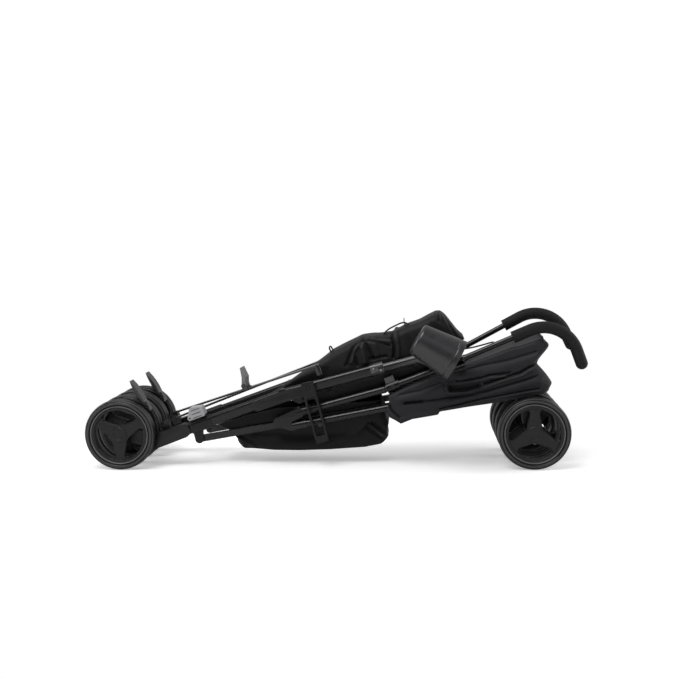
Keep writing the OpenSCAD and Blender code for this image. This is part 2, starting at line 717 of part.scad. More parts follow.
// The folded canopy under the handles: two lobes, walls at the sides, open below
module canopy() color("#2a292c") near() {
    shell = [
        [-131, -36], [-124, -14], [-88, -10.5], [150, -10.5],
        [158, -14], [207, -15.5], [218, -20], [224, -30],
        [217, -42], [188, -62], [203, -74], [211, -92], [208, -112], [192, -122], [79, -103],
        [-35, -78], [-39, -85], [-122, -75]
    ];
    room = [
        [-140, -140], [-140, -30], [-92, -30], [-92, -17], [146, -17], [158, -21], [200, -22], [212, -31],
        [178, -61], [193, -76], [200, -94], [196, -140]
    ];
    difference() {
        at(pivot, handle_slope, 0) difference() {
            plate(-canopy_y, canopy_y) polygon(shell);
            plate(-canopy_y + cloth_t, canopy_y - cloth_t) polygon(room);
            for (s = [-1, 1]) translate([-20, s * (canopy_y + 1), -47]) rotate([0, 96.5, 0])
                cylinder(r = 2.5, h = 205);
        }
        for (m = [0, 1]) mirror([0, m, 0]) front_leg_room();
    }
}

// The collapsed basket between its bars
module basket() color("#191818") near() {
    sack = [
        [44, -4], [48, 24], [107, 32], [177, 36], [245, 20], [323, 1], [396, -14], [401, -36],
        [400, -59], [381, -82], [342, -81], [268, -74], [182, -62],
        [106, -44], [86, -42], [76, -24], [70, -10]
    ];
    at(basket_pin, bar_slope, 0) plate(-basket_y, basket_y) polygon(sack);
}

rear_axle_near();
rear_axle_far();
tyre_rear(1);  // tyre_rear_1
tyre_rear(2);  // tyre_rear_2
tyre_rear(3);  // tyre_rear_3
tyre_rear(4);  // tyre_rear_4
rim_rear(1);  // rim_rear_1
rim_rear(2);  // rim_rear_2
rim_rear(3);  // rim_rear_3
rim_rear(4);  // rim_rear_4
tyre_front(1);  // tyre_front_1
tyre_front(2);  // tyre_front_2
tyre_front(3);  // tyre_front_3
tyre_front(4);  // tyre_front_4
rim_front(1);  // rim_front_1
rim_front(2);  // rim_front_2
rim_front(3);  // rim_front_3
rim_front(4);  // rim_front_4
leg_tube_near();
leg_tube_far();
rear_foot_near();
rear_foot_far();
leg_joint_near();
leg_joint_far();
leg_fork_near();
leg_fork_far();
leg_bracket_near();
leg_bracket_far();
brake_pedal_near();
brake_pedal_far();
handle_tube_near();
handle_tube_far();
handle_clip_near();
handle_clip_far();
knuckle_near();
knuckle_far();
fold_bumper();
cup_holder();
grip_tube_near();
grip_tube_far();
foam_grip_near();
foam_grip_far();
front_leg_near();
front_leg_far();
caster_socket_near();
caster_socket_far();
caster_fork_near();
caster_fork_far();
basket_bar_near();
basket_bar_far();
brace_bar_near();
brace_bar_far();
fold_pedal();
side_lock();
storage_latch();
seat_board_near();
seat_board_far();
seat_back();
canopy();
basket();
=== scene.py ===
"""Looks of a folded umbrella stroller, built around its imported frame.

Lengths are written in millimetres and turned into metres when a mesh is made.
X runs from the rear wheels to the handles, Y across, Z up from the floor.
"""

import json

import bmesh
import bpy
import numpy as np
from mathutils import Matrix


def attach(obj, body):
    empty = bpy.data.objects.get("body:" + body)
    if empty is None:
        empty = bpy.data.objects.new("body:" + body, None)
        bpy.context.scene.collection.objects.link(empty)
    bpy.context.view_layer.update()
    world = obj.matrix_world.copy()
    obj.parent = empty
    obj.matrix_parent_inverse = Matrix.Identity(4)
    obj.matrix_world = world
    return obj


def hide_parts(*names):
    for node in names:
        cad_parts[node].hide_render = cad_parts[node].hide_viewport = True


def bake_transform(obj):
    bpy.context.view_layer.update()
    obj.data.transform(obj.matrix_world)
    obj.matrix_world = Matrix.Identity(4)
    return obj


MM = 0.001
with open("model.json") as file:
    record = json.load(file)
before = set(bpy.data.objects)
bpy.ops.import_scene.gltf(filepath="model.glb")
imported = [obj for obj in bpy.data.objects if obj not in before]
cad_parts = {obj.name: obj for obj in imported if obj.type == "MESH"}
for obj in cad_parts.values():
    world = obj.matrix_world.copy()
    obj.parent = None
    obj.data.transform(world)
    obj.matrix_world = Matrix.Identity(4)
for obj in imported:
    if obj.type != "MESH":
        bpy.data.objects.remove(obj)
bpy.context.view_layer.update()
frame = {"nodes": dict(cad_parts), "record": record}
nodes = frame["nodes"]
BODY_OF = {n: body for body, names in frame["record"]["behaviour"]["bodies"].items() for n in names}
SLOT_OF = {part["node"]: part["material_slot"] for part in frame["record"]["subparts"]}

# Side frame: the same driving sizes as the solids
WHEELBASE = 868.0
WHEEL_R = 75.0
TYRE_H = 16.0
TYRE_W = 26.0
SIDE_Y = 62.0
LEG_W = 16.0
TWIN_PITCH = 62.0
LEG_SLOPE = 19.6
LEG_DROP = 42.0
LEG_BEND_U = 353.0
UPPER_SLOPE = 14.7
UPPER_LEN = 336.0
PIVOT_DROP = 32.0
HANDLE_SLOPE = 20.6
BASKET_PIN_U = 146.0
BASKET_PIN_DROP = 30.0
BAR_SLOPE = 9.77
CANOPY_Y = 79.4
BASKET_Y = 46.5
SEAT_LEN = 236.0
SEAT_T = 12.0
SIDES = (("near", -1), ("far", 1))


def along(degrees):
    """Unit vector in the side plane at an angle above level, as x and z."""
    a = np.radians(degrees)
    return np.array([np.cos(a), np.sin(a)])


def above(degrees):
    """Unit vector in the side plane, square to along() and pointing up."""
    return along(degrees + 90.0)


REAR_AXLE = np.array([-WHEELBASE / 2, WHEEL_R])
FRONT_AXLE = np.array([WHEELBASE / 2, WHEEL_R])
LEG_ORIGIN = REAR_AXLE - LEG_DROP * above(LEG_SLOPE)
LEG_BEND = LEG_ORIGIN + LEG_BEND_U * along(LEG_SLOPE)
PIVOT = LEG_BEND + UPPER_LEN * along(UPPER_SLOPE) - PIVOT_DROP * above(UPPER_SLOPE)
BASKET_PIN = LEG_ORIGIN + BASKET_PIN_U * along(LEG_SLOPE) - BASKET_PIN_DROP * above(LEG_SLOPE)

# The three sloping lines that the cloth is laid out on: an origin and a slope
HANDLE_LINE = (PIVOT, HANDLE_SLOPE)
UPPER_LINE = (LEG_BEND, UPPER_SLOPE)
BAR_LINE = (BASKET_PIN, BAR_SLOPE)


def in_plane(line, u, v):
    """x and z of points given along and above a sloping line, as arrays."""
    (x, z), slope = line
    a, b = along(slope), above(slope)
    return x + u * a[0] + v * b[0], z + u * a[1] + v * b[1]


# Lines and folds
def eased(at, points, width):
    """Heights read off a line through the points, averaged over a width so that its corners turn round."""
    knots = np.array(points, float)
    steps = np.linspace(-1.0, 1.0, 9)
    weights = 1.0 - 0.9 * np.abs(steps)
    heights = np.interp(np.asarray(at, float)[..., None] + steps * width, knots[:, 0], knots[:, 1])
    return (heights * weights).sum(-1) / weights.sum()


def through(points, count):
    """A smooth line of count points through the given ones: cubic pieces whose slope at a point
    is half the way between its neighbours."""
    p = np.array(points, float)
    p = np.concatenate([[2 * p[0] - p[1]], p, [2 * p[-1] - p[-2]]])
    at = np.linspace(0, len(p) - 3, count)
    i = np.minimum(at.astype(int), len(p) - 4)
    k = (at - i)[:, None]
    a, b, c, d = p[i], p[i + 1], p[i + 2], p[i + 3]
    return b + 0.5 * k * (c - a + k * (2 * a - 5 * b + 4 * c - d + k * (3 * (b - c) + d - a)))


def fold(s, t, points, width, rise):
    """A ridge, or a valley where rise is below zero: a bell curve of the distance to a line
    through the points."""
    knots = np.array(points, float)
    near = np.full(np.broadcast(s, t).shape, np.inf)
    for (x0, y0), (x1, y1) in zip(knots[:-1], knots[1:]):
        dx, dy = x1 - x0, y1 - y0
        k = np.clip(((s - x0) * dx + (t - y0) * dy) / (dx * dx + dy * dy), 0, 1)
        near = np.minimum(near, np.hypot(s - x0 - k * dx, t - y0 - k * dy))
    return rise * np.exp(-((near / width) ** 2))


def folds(s, t, lines):
    """The sum of several folds, each a line, its width and its rise."""
    return sum(fold(s, t, points, width, rise) for points, width, rise in lines)


def ripples(s, t, size, phase):
    """Slow unevenness of cloth: three crossing waves of unlike lengths."""
    waves = np.sin(s / 17.0 + t / 29.0 + phase) + 0.7 * np.sin(s / 11.0 - t / 13.0 + 2 * phase)
    return size * (waves + 0.5 * np.sin(s / 43.0 + t / 7.0 + 3 * phase)) / 2.2


def squared(turn, power):
    """Cosine and sine of a turn, drawn out towards a square: the smaller the power, the squarer."""
    a, b = np.cos(turn), np.sin(turn)
    return np.sign(a) * np.abs(a) ** power, np.sign(b) * np.abs(b) ** power


# Meshes
JOIN = 1e-6
JOIN_SOLID = 2e-5
FLAT_ANGLE = 0.6
SHARP_ANGLE = 32.0


def grid_mesh(name, x, y, z, close_rows=False, close_cols=False):
    """A grid of points joined into quads; a closed way joins its last line to its first.
    The UV map is the length along rows and columns in metres."""
    grid = np.stack(np.broadcast_arrays(x, y, z), axis=-1) * MM
    rows, cols = grid.shape[:2]
    whole = np.concatenate([grid, grid[:1]]) if close_rows else grid
    whole = np.concatenate([whole, whole[:, :1]], axis=1) if close_cols else whole
    down = np.linalg.norm(np.diff(whole, axis=0, prepend=whole[:1]), axis=-1).cumsum(0)
    over = np.linalg.norm(np.diff(whole, axis=1, prepend=whole[:, :1]), axis=-1).cumsum(1)
    i, j = np.meshgrid(np.arange(whole.shape[0] - 1), np.arange(whole.shape[1] - 1), indexing="ij")
    ci = np.stack([i, i + 1, i + 1, i], axis=-1)
    cj = np.stack([j, j, j + 1, j + 1], axis=-1)
    quads = (ci % rows) * cols + cj % cols
    mesh = bpy.data.meshes.new(name)
    mesh.from_pydata(grid.reshape(-1, 3).tolist(), [], quads.reshape(-1, 4).tolist())
    uv = mesh.uv_layers.new(name="UVMap")
    uv.data.foreach_set("uv", np.stack([down[ci, cj], over[ci, cj]], axis=-1).ravel())
    return mesh


def linked(name, data):
    """Makes an object of a mesh, a camera or a lamp and puts it in the scene."""
    made = bpy.data.objects.new(name, data)
    bpy.context.collection.objects.link(made)
    return made


def smooth(name, mesh):
    """A mesh as an object whose faces shade smooth."""
    mesh.polygons.foreach_set("use_smooth", np.ones(len(mesh.polygons), bool))
    mesh.update()
    return linked(name, mesh)


def points_of(mesh):
    """A mesh's points as an array."""
    at = np.empty(3 * len(mesh.vertices))
    mesh.vertices.foreach_get("co", at)
    return at.reshape(-1, 3)


def surface(name, *grid, **closed):
    """A grid of points as an object."""
    return finished(name, grid_mesh(name, *grid, **closed))


def finished(name, mesh):
    """Joins the points that meet, points the faces outwards, shades them smooth and makes the object."""
    work = bmesh.new()
    work.from_mesh(mesh)
    bmesh.ops.remove_doubles(work, verts=work.verts, dist=JOIN)
    bmesh.ops.recalc_face_normals(work, faces=work.faces)
    work.to_mesh(mesh)
    work.free()
    return smooth(name, mesh)


def band(name, path, width, thick, corner=0.35):
    """A strap carried along a path: its section is a rounded box, width across Y and thick square
    to the path, drawn together at both ends."""
    step = np.gradient(path, axis=0)
    step /= np.linalg.norm(step, axis=1, keepdims=True)
    rise = np.cross(step, [0.0, 1.0, 0.0])
    turn = np.linspace(0, 2 * np.pi, 20, endpoint=False)
    a, b = squared(turn, corner)
    a, b = a * width / 2, b * thick / 2
    size = np.concatenate([[0.0, 0.8], np.ones(len(path) - 4), [0.8, 0.0]])[:, None]
    x = path[:, :1] + size * b * rise[:, :1]
    y = path[:, 1:2] + size * a
    z = path[:, 2:] + size * b * rise[:, 2:]
    return surface(name, x, y, z, close_cols=True)


def in_side(line, points, y, count):
    """A smooth path through points along and above a sloping line, all at one y."""
    p = through(points, count)
    x, z = in_plane(line, p[:, 0], p[:, 1])
    return np.stack([x, np.full(count, float(y)), z], axis=-1)


def dress(piece, material, body, slot, *replaced):
    """Gives a piece its material and the body it rides on, and hides the nodes it stands for.
    The slot, its finish in the record, is not used."""
    piece.data.materials.clear()
    piece.data.materials.append(material)
    if body:
        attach(piece, body)
    if replaced:
        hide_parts(*replaced)
    return piece


def even(piece):
    """Shades flat faces flat beside their rounded edges."""
    piece.modifiers.new("even shading", "WEIGHTED_NORMAL").keep_sharp = True
    return piece


def rounded(node, width, suffix="moulding", clean=True):
    """A copy of a node whose sharp edges are rounded by a width and whose curved faces shade smooth.
    A clean copy has its flat faces joined first, and a tube is left as it is."""
    mesh = nodes[node].data.copy()
    work = bmesh.new()
    work.from_mesh(mesh)
    bmesh.ops.remove_doubles(work, verts=work.verts, dist=JOIN_SOLID)
    if clean:
        limit = np.radians(FLAT_ANGLE)
        bmesh.ops.dissolve_limit(work, angle_limit=limit, verts=work.verts, edges=work.edges)
    work.to_mesh(mesh)
    work.free()
    piece = smooth(f"{node}_{suffix}", mesh)
    bevel = piece.modifiers.new("rounded edges", "BEVEL")
    bevel.width = width * MM
    bevel.segments = 2
    bevel.limit_method = "ANGLE"
    bevel.angle_limit = np.radians(SHARP_ANGLE)
    return even(piece)


# Materials: shared effects as groups
def linear(*srgb):
    """A colour of 0 to 255 a channel, as linear values with alpha."""
    c = np.array(srgb, float) / 255
    c = np.where(c <= 0.04045, c / 12.92, ((c + 0.055) / 1.055) ** 2.4)
    return (*c.tolist(), 1.0)


def add(tree, kind, **values):
    """Adds a node and sets its inputs by name, with _ for a space."""
    made = tree.nodes.new(kind)
    for key, value in values.items():
        made.inputs[key.replace("_", " ")].default_value = value
    return made


def blank_group(name, inputs, outputs):
    """A shader node group with the named sockets, and its input and output nodes."""
    tree = bpy.data.node_groups.new(name, "ShaderNodeTree")
    for label, kind in inputs:
        tree.interface.new_socket(label, in_out="INPUT", socket_type=kind)
    for label in outputs:
        tree.interface.new_socket(label, in_out="OUTPUT", socket_type="NodeSocketFloat")
    return tree, tree.nodes.new("NodeGroupInput"), tree.nodes.new("NodeGroupOutput")


def math(tree, operation, a, b):
    """A Math node on two sockets or numbers; returns its output."""
    made = tree.nodes.new("ShaderNodeMath")
    made.operation = operation
    for socket, value in zip(made.inputs, (a, b)):
        if isinstance(value, (int, float)):
            socket.default_value = value
        else:
            tree.links.new(value, socket)
    return made.outputs[0]


def spread(tree, value, low, high, to_low=0.0, to_high=1.0):
    """A Map Range node that takes low to to_low and high to to_high; returns its output."""
    made = add(tree, "ShaderNodeMapRange", From_Min=low, From_Max=high, To_Min=to_low, To_Max=to_high)
    tree.links.new(value, made.inputs["Value"])
    return made.outputs["Result"]


VECTOR, NUMBER = "NodeSocketVector", "NodeSocketFloat"


def make_grain():
    """Moulded or painted skin: fine noise for the relief, and slow noise with some of it for the tone."""
    tree, take, give = blank_group("grain", [("Vector", VECTOR), ("Scale", NUMBER)], ["Tone", "Height"])
    fine = add(tree, "ShaderNodeTexNoise", Detail=4.0, Roughness=0.6)
    slow = add(tree, "ShaderNodeTexNoise", Detail=3.0)
    for noise in (fine, slow):
        tree.links.new(take.outputs["Vector"], noise.inputs["Vector"])
    tree.links.new(take.outputs["Scale"], fine.inputs["Scale"])
    tree.links.new(math(tree, "MULTIPLY", take.outputs["Scale"], 0.03), slow.inputs["Scale"])
    both = math(tree, "MULTIPLY_ADD", fine.outputs[0], 0.35)
    tree.links.new(math(tree, "MULTIPLY", slow.outputs[0], 0.65), both.node.inputs[2])
    tree.links.new(spread(tree, both, 0.32, 0.68), give.inputs["Tone"])
    tree.links.new(fine.outputs[0], give.inputs["Height"])
    return tree


def make_weave():
    """Plain weave on the UV map: the product of two sine waves a thread apart stands up where threads
    cross over, and stretched noise makes some threads thicker and paler."""
    tree, take, give = blank_group("weave", [("Vector", VECTOR), ("Pitch", NUMBER)], ["Tone", "Height"])
    parts = tree.nodes.new("ShaderNodeSeparateXYZ")
    tree.links.new(take.outputs["Vector"], parts.inputs[0])
    per = math(tree, "DIVIDE", float(np.pi), take.outputs["Pitch"])
    waves = [math(tree, "SINE", math(tree, "MULTIPLY", parts.outputs[k], per), 0.0) for k in (0, 1)]
    cross = spread(tree, math(tree, "MULTIPLY", *waves), -1.0, 1.0)
    slubs = []
    for stretch in ((90.0, 1600.0, 1.0), (1600.0, 90.0, 1.0)):
        scale = tree.nodes.new("ShaderNodeVectorMath")
        scale.operation = "MULTIPLY"
        scale.inputs[1].default_value = stretch
        noise = add(tree, "ShaderNodeTexNoise", Scale=1.0, Detail=2.0)
        tree.links.new(take.outputs["Vector"], scale.inputs[0])
        tree.links.new(scale.outputs[0], noise.inputs["Vector"])
        slubs.append(noise.outputs[0])
    mean = math(tree, "MULTIPLY", math(tree, "ADD", *slubs), 0.5)
    slub = math(tree, "MULTIPLY", spread(tree, mean, 0.35, 0.65), 0.6)
    tone = math(tree, "ADD", slub, math(tree, "MULTIPLY", cross, 0.4))
    tree.links.new(tone, give.inputs["Tone"])
    tree.links.new(math(tree, "ADD", cross, math(tree, "MULTIPLY", mean, 0.8)), give.inputs["Height"])
    return tree


def make_dust():
    """Pale handling marks in patches: slow noise cut off below a level, broken up by finer noise."""
    inputs = [("Vector", VECTOR), ("Scale", NUMBER), ("Level", NUMBER)]
    tree, take, give = blank_group("dust", inputs, ["Mask"])
    slow = add(tree, "ShaderNodeTexNoise", Detail=5.0, Roughness=0.65)
    fine = add(tree, "ShaderNodeTexNoise", Detail=2.0)
    for noise in (slow, fine):
        tree.links.new(take.outputs["Vector"], noise.inputs["Vector"])
    tree.links.new(take.outputs["Scale"], slow.inputs["Scale"])
    tree.links.new(math(tree, "MULTIPLY", take.outputs["Scale"], 14.0), fine.inputs["Scale"])
    cut = add(tree, "ShaderNodeMapRange", From_Max=1.0)
    tree.links.new(take.outputs["Level"], cut.inputs["From Min"])
    tree.links.new(slow.outputs[0], cut.inputs["Value"])
    broken = math(tree, "MULTIPLY", cut.outputs[0], spread(tree, fine.outputs[0], 0.4, 0.6))
    tree.links.new(broken, give.inputs["Mask"])
    return tree


def make_bends():
    """Where the surface bends: a mask of the ridges, which take a painted highlight, and one of the creases,
    which take painted shade."""
    tree, take, give = blank_group("bends", [("Width", NUMBER)], ["Ridge", "Crease"])
    level = tree.nodes.new("ShaderNodeNewGeometry").outputs["Pointiness"]
    share = math(tree, "DIVIDE", math(tree, "SUBTRACT", level, 0.5), take.outputs["Width"])
    tree.links.new(spread(tree, share, 0.4, 1.0), give.inputs["Ridge"])
    tree.links.new(spread(tree, share, -0.1, -1.0), give.inputs["Crease"])
    return tree


GRAIN, WEAVE, DUST, BENDS = make_grain(), make_weave(), make_dust(), make_bends()
# Colours: a painted highlight for ridges, pale dust for marks, and painted shade for creases
PAINTED_HIGHLIGHT = linear(128, 127, 126)
MARKED = linear(150, 148, 144)
SHADED = linear(4, 4, 4)


def place(tree, group, vector=None, **values):
    """Puts a shared group into a material with its own values."""
    made = tree.nodes.new("ShaderNodeGroup")
    made.node_tree = group
    if vector is not None:
        tree.links.new(vector, made.inputs["Vector"])
    for key, value in values.items():
        made.inputs[key].default_value = value
    return made


def mixed(tree, share, a, b):
    """A colour Mix node between two colours or sockets; returns its output."""
    made = tree.nodes.new("ShaderNodeMix")
    made.data_type = "RGBA"
    tree.links.new(share, made.inputs[0])
    for socket, value in ((made.inputs[6], a), (made.inputs[7], b)):
        if isinstance(value, tuple):
            socket.default_value = value
        else:
            tree.links.new(value, socket)
    return made.outputs[2]


def toned(srgb, share):
    """A linear colour made lighter or darker by a share."""
    return (*[min(1.0, c * share) for c in linear(*srgb)[:3]], 1.0)


def blank_material(name):
    """A new material with its shader, and the node tree."""
    mat = bpy.data.materials.new(name)
    mat.use_nodes = True
    return mat, mat.node_tree, mat.node_tree.nodes["Principled BSDF"]


def relief(tree, shader, height, strength, depth):
    """A Bump node of a depth in millimetres from a height to the shader's normal."""
    bump = add(tree, "ShaderNodeBump", Strength=strength, Distance=depth * MM)
    tree.links.new(height, bump.inputs["Height"])
    tree.links.new(bump.outputs[0], shader.inputs["Normal"])


def bent(tree, base, width, pale, dark):
    """A colour with a painted highlight on its ridges and painted shade in its creases."""
    bends = place(tree, BENDS, Width=width)
    highlighted = mixed(tree, math(tree, "MULTIPLY", bends.outputs["Ridge"], pale), base, PAINTED_HIGHLIGHT)
    return mixed(tree, math(tree, "MULTIPLY", bends.outputs["Crease"], dark), highlighted, SHADED)


def hard(name, srgb, rough, scale, depth, contrast=0.16, marks=0.10, metallic=0.0, coat=0.0, shine=0.22,
         edge_highlight=0.4, bend=0.1):
    """A hard finish: two close tones and an uneven gloss from the grain, a fine relief, pale marks
    in patches, a painted highlight on its edges and painted shade in its creases."""
    mat, tree, shader = blank_material(name)
    spot = tree.nodes.new("ShaderNodeTexCoord").outputs["Object"]
    grain = place(tree, GRAIN, spot, Scale=scale)
    dust = place(tree, DUST, spot, Scale=38.0, Level=0.52)
    base = mixed(tree, grain.outputs["Tone"], toned(srgb, 1 - contrast), toned(srgb, 1 + contrast))
    share = math(tree, "MULTIPLY", dust.outputs["Mask"], marks)
    marked = mixed(tree, share, base, MARKED)
    # Painted highlight on the edges and painted shade in the creases
    tree.links.new(bent(tree, marked, bend, edge_highlight, 0.8), shader.inputs["Base Color"])
    gloss = spread(tree, grain.outputs["Tone"], 0.0, 1.0, rough - 0.05, rough + 0.06)
    tree.links.new(math(tree, "ADD", gloss, share), shader.inputs["Roughness"])
    shader.inputs["Metallic"].default_value = metallic
    shader.inputs["Coat Weight"].default_value = coat
    shader.inputs["Coat Roughness"].default_value = 0.25
    shader.inputs["Specular IOR Level"].default_value = shine
    relief(tree, shader, grain.outputs["Height"], 0.6, depth)
    return mat


def woven(name, srgb, rough, pitch, depth, sheen, contrast=0.22):
    """A woven finish: tone, gloss and relief from the weave on the UV map, a slow unevenness of the dye,
    and painted shade in the creases between folds that carry a painted highlight."""
    mat, tree, shader = blank_material(name)
    uv = tree.nodes.new("ShaderNodeUVMap")
    uv.uv_map = "UVMap"
    weave = place(tree, WEAVE, uv.outputs[0], Pitch=pitch * MM)
    spot = tree.nodes.new("ShaderNodeTexCoord").outputs["Object"]
    dye = place(tree, GRAIN, spot, Scale=420.0)
    thread = mixed(tree, weave.outputs["Tone"], toned(srgb, 1 - contrast), toned(srgb, 1 + contrast))
    shade = math(tree, "MULTIPLY", dye.outputs["Tone"], 0.35)
    dyed = mixed(tree, shade, thread, toned(srgb, 1.35))
    # Painted highlight on the folds and painted shade in the creases
    tree.links.new(bent(tree, dyed, 0.06, 0.12, 0.9), shader.inputs["Base Color"])
    gloss = spread(tree, weave.outputs["Tone"], 0.0, 1.0, rough - 0.07, rough + 0.07)
    tree.links.new(gloss, shader.inputs["Roughness"])
    shader.inputs["Sheen Weight"].default_value = sheen
    shader.inputs["Sheen Roughness"].default_value = 0.4
    shader.inputs["Specular IOR Level"].default_value = 0.25
    relief(tree, shader, weave.outputs["Height"], 0.5, depth)
    return mat


# Every hard finish paints a highlight on its edges, strongest on the tyre and none on the foam, and shade in
# its creases
FINISH = {
    "tyre": hard("tyre rubber", (24, 24, 25), rough=0.36, scale=2600, depth=0.1, contrast=0.2, marks=0.12,
                 shine=0.5, edge_highlight=0.8, bend=0.075),
    "rim": hard("wheel plastic", (36, 35, 36), rough=0.36, scale=1900, depth=0.1, shine=0.35, edge_highlight=0.6),
    "steel": hard("axle steel", (170, 170, 172), rough=0.32, scale=900, depth=0.03, contrast=0.1, marks=0.0,
                  metallic=1.0),
    "frame_paint": hard("satin black paint", (22, 21, 22), rough=0.28, scale=1300, depth=0.05, contrast=0.14,
                        marks=0.05, coat=0.2, shine=0.4),
    "black_plastic": hard("black moulded plastic", (17, 17, 18), rough=0.32, scale=2100, depth=0.1,
                          shine=0.38),
    "brace_metal": hard("glossy black paint", (30, 30, 32), rough=0.2, scale=900, depth=0.02, contrast=0.08,
                        marks=0.0, coat=0.5, shine=0.5),
    "grey_plastic": hard("light grey plastic", (182, 182, 184), rough=0.5, scale=2100, depth=0.12,
                         contrast=0.08, marks=0.0),
    "pedal_grey": hard("mid grey plastic", (140, 140, 142), rough=0.45, scale=2100, depth=0.12,
                       contrast=0.08, marks=0.0),
    "cup_plastic": hard("dark grey plastic", (50, 50, 52), rough=0.3, scale=2100, depth=0.04, contrast=0.1,
                        marks=0.04, shine=0.6),
    "foam": hard("closed-cell foam", (30, 30, 31), rough=0.7, scale=1500, depth=0.5, contrast=0.25,
                 marks=0.06, shine=0.3, edge_highlight=0.0),
    "canopy_cloth": woven("canopy cloth", (42, 41, 44), rough=0.58, pitch=0.9, depth=0.1, sheen=0.06),
    "back_cloth": woven("back cloth", (28, 28, 30), rough=0.58, pitch=0.9, depth=0.1, sheen=0.06),
    "seat_cloth": woven("seat cloth", (28, 28, 30), rough=0.6, pitch=0.9, depth=0.1, sheen=0.05),
    "basket_cloth": woven("basket cloth", (21, 20, 20), rough=0.55, pitch=1.1, depth=0.1, sheen=0.04),
}
WEBBING = woven("webbing", (20, 20, 21), rough=0.7, pitch=1.6, depth=0.3, sheen=0.03)
RIVET = hard("rivet steel", (150, 150, 152), rough=0.3, scale=900, depth=0.03, contrast=0.1, marks=0.0,
             metallic=1.0)

# Hard pieces: copies of the solids with rounded edges
EDGES = {
    "rear_foot": 2.0, "leg_joint": 1.8, "leg_fork": 1.2, "leg_bracket": 1.5, "brake_pedal": 1.2,
    "handle_clip": 1.0, "knuckle": 1.6, "fold_bumper": 1.5, "caster_socket": 1.2,
    "caster_fork": 1.6, "basket_bar": 1.2, "brace_bar": 0.6, "fold_pedal": 2.6, "side_lock": 1.2,
    "leg_tube": 0.4, "handle_tube": 0.4, "grip_tube": 0.6, "foam_grip": 1.6, "front_leg": 0.8,
    "rear_axle": 0.6,
}
ROUND = ("leg_tube", "handle_tube", "grip_tube", "foam_grip", "front_leg", "rear_axle")


def edge_of(node):
    """The edge width of the kind of piece that a node belongs to, or none for one that is built anew."""
    return next((width for kind, width in EDGES.items() if node.startswith(kind)), None)


for node in sorted(nodes):
    if edge_of(node):
        piece = rounded(node, edge_of(node), clean=not node.startswith(ROUND))
        dress(piece, FINISH[SLOT_OF[node]], BODY_OF[node], SLOT_OF[node], node)


def part_of(node, width, suffix, keep):
    """A rounded copy of a node with only the faces whose middle passes a test on x, y and z
    in millimetres."""
    piece = rounded(node, width, suffix)
    work = bmesh.new()
    work.from_mesh(piece.data)
    over = [f for f in work.faces if not keep(*(f.calc_center_median() / MM))]
    bmesh.ops.delete(work, geom=over, context="FACES")
    work.to_mesh(piece.data)
    work.free()
    return piece


# Rims
RIM_R = WHEEL_R - TYRE_H
RIM_HALF = TYRE_W / 2 - 2.0
RIM_RING = 5.5
HUB_R = 16.0
PLATE_T = 9.0
PLATE_EDGE = 2.2
PLATE_SET = 2.0
WINDOW_R = RIM_R - 6.0


def arc(centre, r, start, stop, count):
    """Points of an arc about a centre, between two angles in degrees."""
    turn = np.radians(np.linspace(start, stop, count))
    return centre + r * np.stack([np.cos(turn), np.sin(turn)], axis=-1)


def window(turn):
    """Outline of a rim's window: a long outer arc and three round corners, about a middle line
    at an angle."""
    half_turn, corner_r, tip_r = 38.0, 7.0, 6.5
    tip = np.array([26.0, 0.0])
    corner = (WINDOW_R - corner_r) * along(half_turn)
    side = np.degrees(np.arctan2(*(corner - tip)[::-1])) + 90.0
    path = np.concatenate([
        arc(corner * (1, -1), corner_r, -side, -half_turn, 10),
        arc(np.zeros(2), WINDOW_R, -half_turn, half_turn, 28)[1:-1],
        arc(corner, corner_r, half_turn, side, 10),
        arc(tip, tip_r, side, 360.0 - side, 8),
    ])
    return path[:, :1] * along(turn) + path[:, 1:] * above(turn)


def plate_mesh(name, outlines, thick, edge, y):
    """A flat plate with rounded edges: a filled flat curve of an outline and its holes, made a mesh
    that stands in the side plane with its middle at y."""
    flat = bpy.data.curves.new(name, "CURVE")
    flat.dimensions = "2D"
    flat.fill_mode = "BOTH"
    flat.extrude = (thick / 2 - edge) * MM
    flat.bevel_depth = edge * MM
    flat.bevel_resolution = 2
    flat.offset = -edge * MM
    for outline in outlines:
        line = flat.splines.new("POLY")
        line.points.add(len(outline) - 1)
        line.use_cyclic_u = True
        rest = np.broadcast_to([0.0, 1.0], outline.shape)
        line.points.foreach_set("co", np.concatenate([outline * MM, rest], axis=1).ravel())
    holder = bpy.data.objects.new(name, flat)
    mesh = bpy.data.meshes.new_from_object(holder)
    bpy.data.objects.remove(holder)
    across, up, deep = points_of(mesh).T
    mesh.vertices.foreach_set("co", np.stack([across, deep + y * MM, up], axis=-1).ravel())
    return mesh


def rim_face():
    """The face plate of a rim with its three windows."""
    outer = arc(np.zeros(2), RIM_R - RIM_RING + 1.5, 0.0, 360.0, 97)[:-1]
    outlines = [outer] + [window(60.0 + 120.0 * k) for k in range(3)]
    return plate_mesh("rim_face", outlines, PLATE_T, PLATE_EDGE, PLATE_T / 2 + PLATE_SET - RIM_HALF)


def turned(name, section, close):
    """A section of radii and depths revolved about the axle's line through the origin."""
    r, w = np.array(section, float).T
    turn = np.linspace(0, 2 * np.pi, 128, endpoint=False)[:, None]
    x, z = r * np.cos(turn), r * np.sin(turn)
    return grid_mesh(name, x, w + 0 * turn, z, close_rows=True, close_cols=close)


